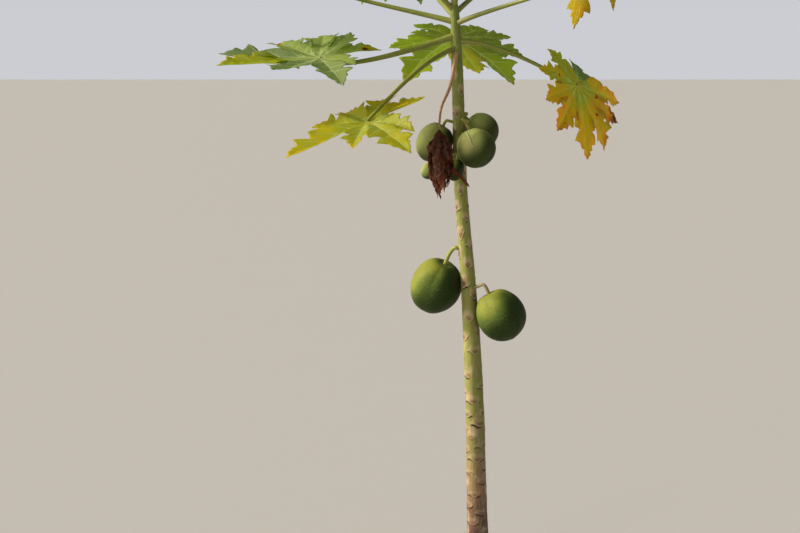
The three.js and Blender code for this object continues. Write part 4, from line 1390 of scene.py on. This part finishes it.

# %% [markdown]
# ## Fruit measures
#
# `stem` is the way the stem end points, as azimuth and elevation. `start` is where the stalk leaves the
# trunk, as height and azimuth, and `arch` is how far the stalk bulges up on its way. The last number is how
# much of the young fruit's pale bloom is left. The finish lays that bloom mostly on the side that faces the
# light, so there it is also a painted highlight.

# %% Fruit measures
Fruit = namedtuple("Fruit", "name centre width length stem start arch stalk taper bloom")
FRUITS = [Fruit(*measures) for measures in (
    ("low_left", (-0.142, 0.036, 0.950), 0.159, 0.181, (327, 65), (1.058, 186), 0.030, 0.0050, 0.03, 0.05),
    ("low_right", (0.053, -0.041, 0.873), 0.150, 0.166, (166, 60), (0.944, 322), 0.022, 0.0042, 0.06, 0.05),
    ("high_front", (-0.029, -0.063, 1.386), 0.116, 0.120, (124, 58), (1.462, 300), 0.010, 0.0038, 0.02, 0.8),
    ("high_back", (-0.008, 0.044, 1.431), 0.108, 0.113, (188, 42), (1.480, 22), 0.008, 0.0038, 0.02, 0.75),
    ("high_left", (-0.151, 0.010, 1.399), 0.109, 0.125, (350, 60), (1.455, 180), 0.012, 0.0036, 0.02, 0.9),
    ("young_front", (-0.090, -0.049, 1.320), 0.053, 0.068, (40, 74), (1.372, 236), 0.004, 0.0028, 0.0, 0.1),
    ("young_left", (-0.163, 0.032, 1.312), 0.052, 0.061, (352, 48), (1.334, 168), 0.005, 0.0026, 0.0, 0.9),
)]
DIMPLE = 0.07  # its depth, as a share of the length


# %% Smooth paths through points
def between(p, q, t, start, end):
    """The point at t on the straight way from p at start to q at end."""
    return p * ((end - t) / (end - start)) + q * ((t - start) / (end - start))


def catmull(points, steps=24):
    """A smooth path through points: a Catmull-Rom curve of the centripetal kind."""
    knots = [points[0] * 2 - points[1], *points, points[-1] * 2 - points[-2]]
    path = []
    for p0, p1, p2, p3 in zip(knots, knots[1:], knots[2:], knots[3:]):
        gaps = [max((b - a).length, 1e-6) ** 0.5 for a, b in ((p0, p1), (p1, p2), (p2, p3))]
        t0, t1, t2, t3 = itertools.accumulate([0.0, *gaps])
        for i in range(steps):
            t = t1 + (t2 - t1) * i / steps
            first = between(p0, p1, t, t0, t1)
            second = between(p1, p2, t, t1, t2)
            third = between(p2, p3, t, t2, t3)
            early = between(first, second, t, t0, t2)
            late = between(second, third, t, t1, t3)
            path.append(between(early, late, t, t1, t2))
    return path + [points[-1]]


# %% The way of a fruit stalk
FIRST_ARCH = 0.6  # how much of its arch a fruit stalk has risen just outside the trunk


def fruit_stalk_path(one):
    height, azimuth = one.start
    up = direction(*one.stem)
    start = trunk_centre(height)
    out = start + direction(azimuth, 0) * (trunk_radius(height) + 2 * one.stalk)
    out.z += one.arch * FIRST_ARCH
    seat = Vector(one.centre) + up * (one.length * (0.5 - 2 * DIMPLE))
    above = Vector(one.centre) + up * (one.length / 2 + one.arch)
    return catmull([start, out, above, seat])


# %% [markdown]
# ## Fruit finish
#
# Green papaya skin is smooth with a soft gloss and a faint bloom. It is deep green, with pale pinprick
# lenticels. Light and shade are painted into its colour: the side turned towards one fixed light direction
# is painted paler and yellower and gets most of the bloom, and the side turned away is painted nearly
# black-green. A dried run of white latex crosses the fruit that hangs in front.

# %% Fruit finish
FRONT = next(one for one in FRUITS if one.name == "high_front")


def on_fruit(one, azimuth, elevation):
    """A point on a round fruit's skin, in this direction from its middle."""
    return Vector(one.centre) + direction(azimuth, elevation) * ((one.width + one.length) / 4)


PALE_SPOT = on_fruit(FRONT, 232, 12)


def fruit_finish():
    skin = Finish("green_fruit_skin", roughness=0.5, specular=0.12, **{
        "Sheen Weight": 0.08, "Sheen Roughness": 0.3, "Sheen Tint": linear("d8dc98")})
    slow = skin.noise(0.07, 2)
    base = skin.ramp(slow, (0.25, "475c20"), (0.5, "546a25"), (0.72, "66792c"), (0.85, "7e8a38"))
    sunny, mottle = skin.mark("sunny"), skin.noise(0.006, 4)
    # the mottle and the lenticels fade into the painted shade
    plainer = 0.2 + 0.8 * sunny.ease(0.0, 0.6)
    dots = skin.node("ShaderNodeTexVoronoi", {}, {"Vector": skin.place, "Scale": 260.0})["Distance"]
    ripening = (skin.vectors("DISTANCE", skin.place, PALE_SPOT) + mottle * 0.012).ease(0.042, 0.010)
    base = skin.coats(
        base,
        ("1e2c0d", sunny.ease(0.85, 0.18) * 0.9),  # painted shade on the side turned away from the light
        ("908829", (sunny + (slow - 0.5) * 0.5).ease(0.45, 1.0) * 0.50),  # and painted light on the side turned towards it
        # pale bloom, laid on mostly where the skin faces the light: partly a real bloom, partly a painted
        # highlight
        ("bcc476", skin.mark("bloom") * (0.04 + 0.90 * sunny.ease(-0.1, 0.85))),
        ("929a40", mottle.ease(0.52, 0.72) * plainer * 0.3),
        ("4c581c", mottle.ease(0.46, 0.3) * 0.3),
        ("b0bc74", dots.ease(0.16, 0.06) * plainer * 0.14),  # lenticels
        ("e2d98a", ripening * 0.85),
    )
    skin.set("Base Color", base)
    skin.set("Roughness", mottle * 0.14 + 0.50)
    skin.set("Normal", skin.bump(mottle, 0.0004))
    return skin.material


# %% Grow the fruits
PAINTED_LIGHT_FROM = 200, 46  # azimuth and elevation of the light and shade painted on the fruits
STALK_FULLNESS = 1.2  # how much thicker the fruit stalks are than the solids' ones
CORKY_STALK = "low_right"  # this fruit's stalk has gone brown
fruit_skin = fruit_finish()
green_stalk = stalk_finish("fruit_stalk_green", "787438", "868a38", "8e943e", "a4a05c")
corky_stalk = stalk_finish("fruit_stalk_corky", "7c6a4c", "8c7a58", "8f8a50", "a89a78")
UP = Vector((0, 0, 1))
for number, one in enumerate(FRUITS):
    turn = UP.rotation_difference(direction(*one.stem))
    body = grow(f"fruit_skin_{one.name}", nothing(), fruits_by_rule, {
        "Width": one.width, "Length": one.length, "Taper": one.taper, "Seed": float(number),
        "Turn": turn.to_euler(), "Place": one.centre, "Skin": fruit_skin,
        "Painted light from": direction(*PAINTED_LIGHT_FROM), "Bloom": one.bloom,
    })
    declare(body, "fruit_skin", f"fruit_{one.name}")
    path, radius = fruit_stalk_path(one), one.stalk * STALK_FULLNESS
    stalk = grow(f"fruit_stalk_{one.name}", path_object(path), stalks_by_rule, {
        "Foot radius": radius, "Tip radius": radius,
        "Swell": 0.35, "Fade": 0.1, "Flare": 0.2, "Start": start_inside(path),
        "Skin": corky_stalk if one.name == CORKY_STALK else green_stalk,
    })
    declare(stalk, "leaf_stalk", f"fruit_{one.name}")
print("fruits:", len(FRUITS))

# %% Run a thread of latex down the front fruit
LATEX = ((214, 52), (232, 42), (243, 32), (251, 18), (257, 6))  # its way: azimuth and elevation
latex = Finish("dried_latex", roughness=0.6)
latex.set("Base Color", linear("dfe0b4"))
latex.set("Normal", latex.bump(latex.noise(0.002), 0.0004))
latex_path = catmull([on_fruit(FRONT, *spot) for spot in LATEX])
run = grow("latex_run", path_object(latex_path), stalks_by_rule, {
    "Foot radius": 0.0019, "Tip radius": 0.0014, "Wrinkle": 0.0004, "Skin": latex.material})
declare(run, "fruit_skin", "fruit_high_front")

# %% [markdown]
# ## The dead leaf
#
# One old leaf has died and hangs by its withered stalk. The stalk is the same limb along a path,
# with wrinkles. The blade has shrunk to a bunch of dark brown rags: each lobe is a strip that
# narrows, twists and crumples as it dries, with a torn edge and a paler rib down its middle.

# %% Dead leaf measures
DEAD_NODE, DEAD_AZIMUTH = 1.664, 264
DEAD_END = Vector((-0.141, -0.116, 1.441))
DEAD_STALK = (0.0060, 0.0030)  # radius at the foot and at the tip
DEAD_PATH = dict(out=0.009, dip=0.004, bow=0.36, sag=0.098, knee=0.88, drop=0.062)
RAGS = 17
RAG_LENGTH = 0.125, 0.212  # of the shortest and the longest
RAG_DROP = (0, 0.018, 0.050, 0.100, 0.155, 0.215)  # stops on the way down a rag
RAG_OUT = (0.0012, 0.0150, 0.0270, 0.0310, 0.0240, 0.0090)  # how far from the middle it hangs there
RAG_HALF = (0.0026, 0.0085, 0.0140, 0.0160, 0.0130, 0.0070)  # and half its width
STRAY_RAG = 3  # this one's end hangs away from the others
STRAY_BEARING, STRAY_LENGTH, STRAY_WIDER = -14, 0.166, 1.05
STRAY_OUT = (0.0012, 0.0080, 0.0200, 0.0300, 0.0720, 0.0860)


def dead_stalk_path():
    start = trunk_centre(DEAD_NODE)
    out = start + direction(DEAD_AZIMUTH, 0) * (trunk_radius(DEAD_NODE) + DEAD_PATH["out"])
    bow, knee = (out.lerp(DEAD_END, DEAD_PATH[share]) for share in ("bow", "knee"))
    stops = [start, out, bow, knee, DEAD_END]
    stops[1].z = DEAD_NODE - DEAD_PATH["dip"]
    stops[2].z = DEAD_NODE - DEAD_PATH["sag"]
    stops[3].z = DEAD_END.z + DEAD_PATH["drop"]
    return catmull(stops)


def dead_finish():
    """Dry leaf: dark red-brown with lighter, greyer folds."""
    skin = Finish("dead_leaf_brown", roughness=0.85, specular=0.15)
    crumple, shade = skin.noise(0.012, 4), skin.mark("shade")
    base = skin.ramp(crumple, (0.25, "1a0a06"), (0.45, "33160d"), (0.62, "502616"), (0.8, "7c4c2e"))
    base = skin.coats(
        base,
        ("70391f", shade.ease(0.55, 0.9) * 0.55),  # redder rags, and greyer ones
        ("7c5a4b", shade.ease(0.4, 0.1) * 0.35),
        ("86503a", (skin.parts(skin.place)["Z"] + crumple * 0.05).ease(1.36, 1.30) * 0.4),  # low ends
        ("8c5c3c", skin.mark("rib") * 0.3),
    )
    skin.set("Base Color", base)
    skin.set("Normal", skin.bump(skin.noise(0.004, 3), 0.0020))
    return skin.material


# %% One rag
RAG_ROWS, RAG_COLUMNS = 76, 15
RAG_BEARING, RAG_BEARING_VARIES = 18, 22  # degrees: the first one's, and how far each is off its place
RAG_FURTHER = 0.8, 0.5  # how far out it hangs, at least, and how much more
RAG_SWAY, RAG_SWAY_SIZE, RAG_LEAN = 0.008, 0.045, 0.010  # towards the right of the photograph
RAG_TORN = (0.45, 0.012, 0), (0.25, 0.005, 5)  # how deep and how large the tears are, and their seed
RAG_TWIST, RAG_TWIST_SIZE = 1.3, 0.07  # radians
RAG_TWIST_GROWS, RAG_CRUMPLE_GROWS = 0.4, 0.2  # up to these shares of its way
RAG_CLOSES = 1.03, 0.78  # its width dies out between these shares
RAG_SHEAR = 0.3, 3  # how far and how quickly it slants as it twists
RAG_PLEATS, RAG_CUPPED = 0.28, 0.75  # in half widths
PLEATS_ACROSS, PLEATS_DOWN = 5.5, 4  # radians of a pleat in half a width, and down the whole rag
RAG_CRUMPLE = (0.0042, 0.007, 50), (0.0085, 0.020, 70)
RAG_RIB = 0.16  # its width, in half widths
RAG_SHEET = 0.0011


def rag(number):
    """One shrunken lobe: a crumpled strip of points in rows from its top to its tip."""
    bearing = 360 * number / RAGS + RAG_BEARING + RAG_BEARING_VARIES * scatter(number, 6)
    length = RAG_LENGTH[0] + (RAG_LENGTH[1] - RAG_LENGTH[0]) * (scatter(number, 3) + 0.5)
    further = RAG_FURTHER[0] + RAG_FURTHER[1] * (scatter(number, 8) + 0.5)
    stops, wider = RAG_OUT, 1
    if number == STRAY_RAG:
        stops, wider, further = STRAY_OUT, STRAY_WIDER, 1
        bearing, length = STRAY_BEARING, STRAY_LENGTH
    t = np.linspace(0, 1, RAG_ROWS)
    drop = t * length
    out = np.interp(drop, RAG_DROP, stops) * further
    middle = np.array(DEAD_END) + np.outer(out, direction(bearing, 0))
    middle[:, 2] -= drop
    middle[:, 0] += (RAG_SWAY * noise_at(middle, RAG_SWAY_SIZE, number + 11) + RAG_LEAN) * t
    torn = 1 + sum(deep * noise_at(middle, size, number + seed) for deep, size, seed in RAG_TORN)
    half = np.interp(drop, RAG_DROP, RAG_HALF) * wider * torn * ease(t, *RAG_CLOSES)
    turn = RAG_TWIST * noise_at(middle, RAG_TWIST_SIZE, number + 30) * ease(t, 0, RAG_TWIST_GROWS)
    twist = math.radians(bearing + 90) + turn
    slant = RAG_SHEAR[0] * np.sin(RAG_SHEAR[1] * twist)
    across = np.stack([np.cos(twist), np.sin(twist), slant], axis=1)
    normal = np.stack([np.sin(twist), -np.cos(twist), np.zeros(RAG_ROWS)], axis=1)
    share = np.linspace(-1, 1, RAG_COLUMNS)
    fold = PLEATS_ACROSS * share[None, :] + 9 * scatter(number, 9) + PLEATS_DOWN * t[:, None]
    pleats = RAG_PLEATS * np.sin(fold)
    curl = half[:, None] * (pleats - RAG_CUPPED * share[None, :] ** 2)
    points = middle[:, None] + across[:, None] * (half[:, None] * share)[..., None]
    flat = (points + normal[:, None] * curl[..., None]).reshape(-1, 3)
    crumple = sum(high * noise_at(flat, size, number + seed) for high, size, seed in RAG_CRUMPLE)
    crumple *= np.repeat(ease(t, 0, RAG_CRUMPLE_GROWS), RAG_COLUMNS)
    flat = flat + np.repeat(normal, RAG_COLUMNS, axis=0) * crumple[:, None]
    r, c = np.meshgrid(np.arange(RAG_ROWS - 1), np.arange(RAG_COLUMNS - 1), indexing="ij")
    upper = r * RAG_COLUMNS + c
    lower = upper + RAG_COLUMNS
    quads = np.stack([upper, upper + 1, lower + 1, lower], axis=-1).reshape(-1, 4)
    marks = {"rib": np.tile(bell(share, RAG_RIB), RAG_ROWS),
             "shade": np.full(len(flat), scatter(number, 12) + 0.5)}
    return flat, quads, marks


# %% Grow the dead leaf
def dead_blade(material):
    """All the rags as one piece, each a thin closed sheet."""
    made = [rag(number) for number in range(RAGS)]
    points = np.concatenate([flat for flat, _, _ in made])
    faces = np.concatenate([quads + number * RAG_ROWS * RAG_COLUMNS
                            for number, (_, quads, _) in enumerate(made)])
    marks = {key: np.concatenate([marks[key] for _, _, marks in made]) for key in ("rib", "shade")}
    piece = new_mesh("dead_blade_rags", points, faces.tolist(), material, marks)
    thick = piece.modifiers.new("thickness", "SOLIDIFY")
    thick.thickness = RAG_SHEET
    thick.offset = 0
    return piece


brown = dead_finish()
declare(dead_blade(brown), "dead_leaf", "dead_blade")
withered = stalk_finish("dead_stalk_brown", "c09a80", "b0845e", "9c7440", "d4b08a")
dead_path = dead_stalk_path()
dead = grow("dead_stalk_skin", path_object(dead_path), stalks_by_rule, {
    "Foot radius": DEAD_STALK[0], "Tip radius": DEAD_STALK[1], "Taper": 1.0, "Steps": 110,
    "Wrinkle": 0.0022, "Start": start_inside(dead_path), "Skin": withered,
})
declare(dead, "dead_stalk", "dead_stalk")
print("dead leaf:", RAGS, "rags")

# %% [markdown]
# ## Floor and light
#
# The plant stands on a plain pale floor that runs on to the horizon. A warm, soft sun stands on the
# left, as in the photograph. A weaker one below it shines in low under the leaves, so the fruits and
# the trunk get their bright left edge, and a faint one from the front left reaches the fruit that
# the dead leaf shades. The pale surroundings fill the rest. A sun lamp lights the whole floor alike,
# where a lamp nearby would leave a bright pool on it.

# %% Floor, lamp and surroundings
FLOOR_HALF = 400
SKY_STRENGTH, MORE_LOW_DOWN = 0.27, 0.50  # of the surroundings: high up, and how much more low down
HAZE = 0.20, 0.05  # between these heights of the sky they change
floor_skin = Finish("pale_floor", roughness=0.9, specular=0.1)
floor_skin.set("Base Color", linear("b3b2b2"))
corners = [(x * FLOOR_HALF, y * FLOOR_HALF, 0) for x, y in ((-1, -1), (1, -1), (1, 1), (-1, 1))]
floor = new_mesh("floor", corners, [(0, 1, 2, 3)], floor_skin.material)


def sun(name, azimuth, elevation, softness, strength, colour):
    """A sun lamp that shines from an azimuth and an elevation in degrees."""
    data = bpy.data.lights.new(name, "SUN")
    data.angle = math.radians(softness)
    data.energy = strength
    data.color = colour
    lamp = new_object(name, data)
    lamp.rotation_euler = (-direction(azimuth, elevation)).to_track_quat("-Z", "Y").to_euler()


sun("key", 178, 34, 9, 4.65, (1.0, 0.90, 0.74))
sun("low side light", 184, 14, 16, 1.7, (1.0, 0.92, 0.80))
sun("front light", 224, 15, 22, 0.6, (1.0, 0.95, 0.86))
world = bpy.data.worlds.new("surroundings")
world.use_nodes = True
sky = Graph(world.node_tree)
upward = sky.parts(sky.node("ShaderNodeTexCoord")["Generated"])["Z"]
backdrop = world.node_tree.nodes["Background"].inputs
backdrop["Color"].default_value = linear("e4e6ec")
sky.feed(backdrop["Strength"], SKY_STRENGTH + MORE_LOW_DOWN * upward.ease(*HAZE))
bpy.context.scene.world = world
bpy.context.scene.view_settings.view_transform = "Standard"
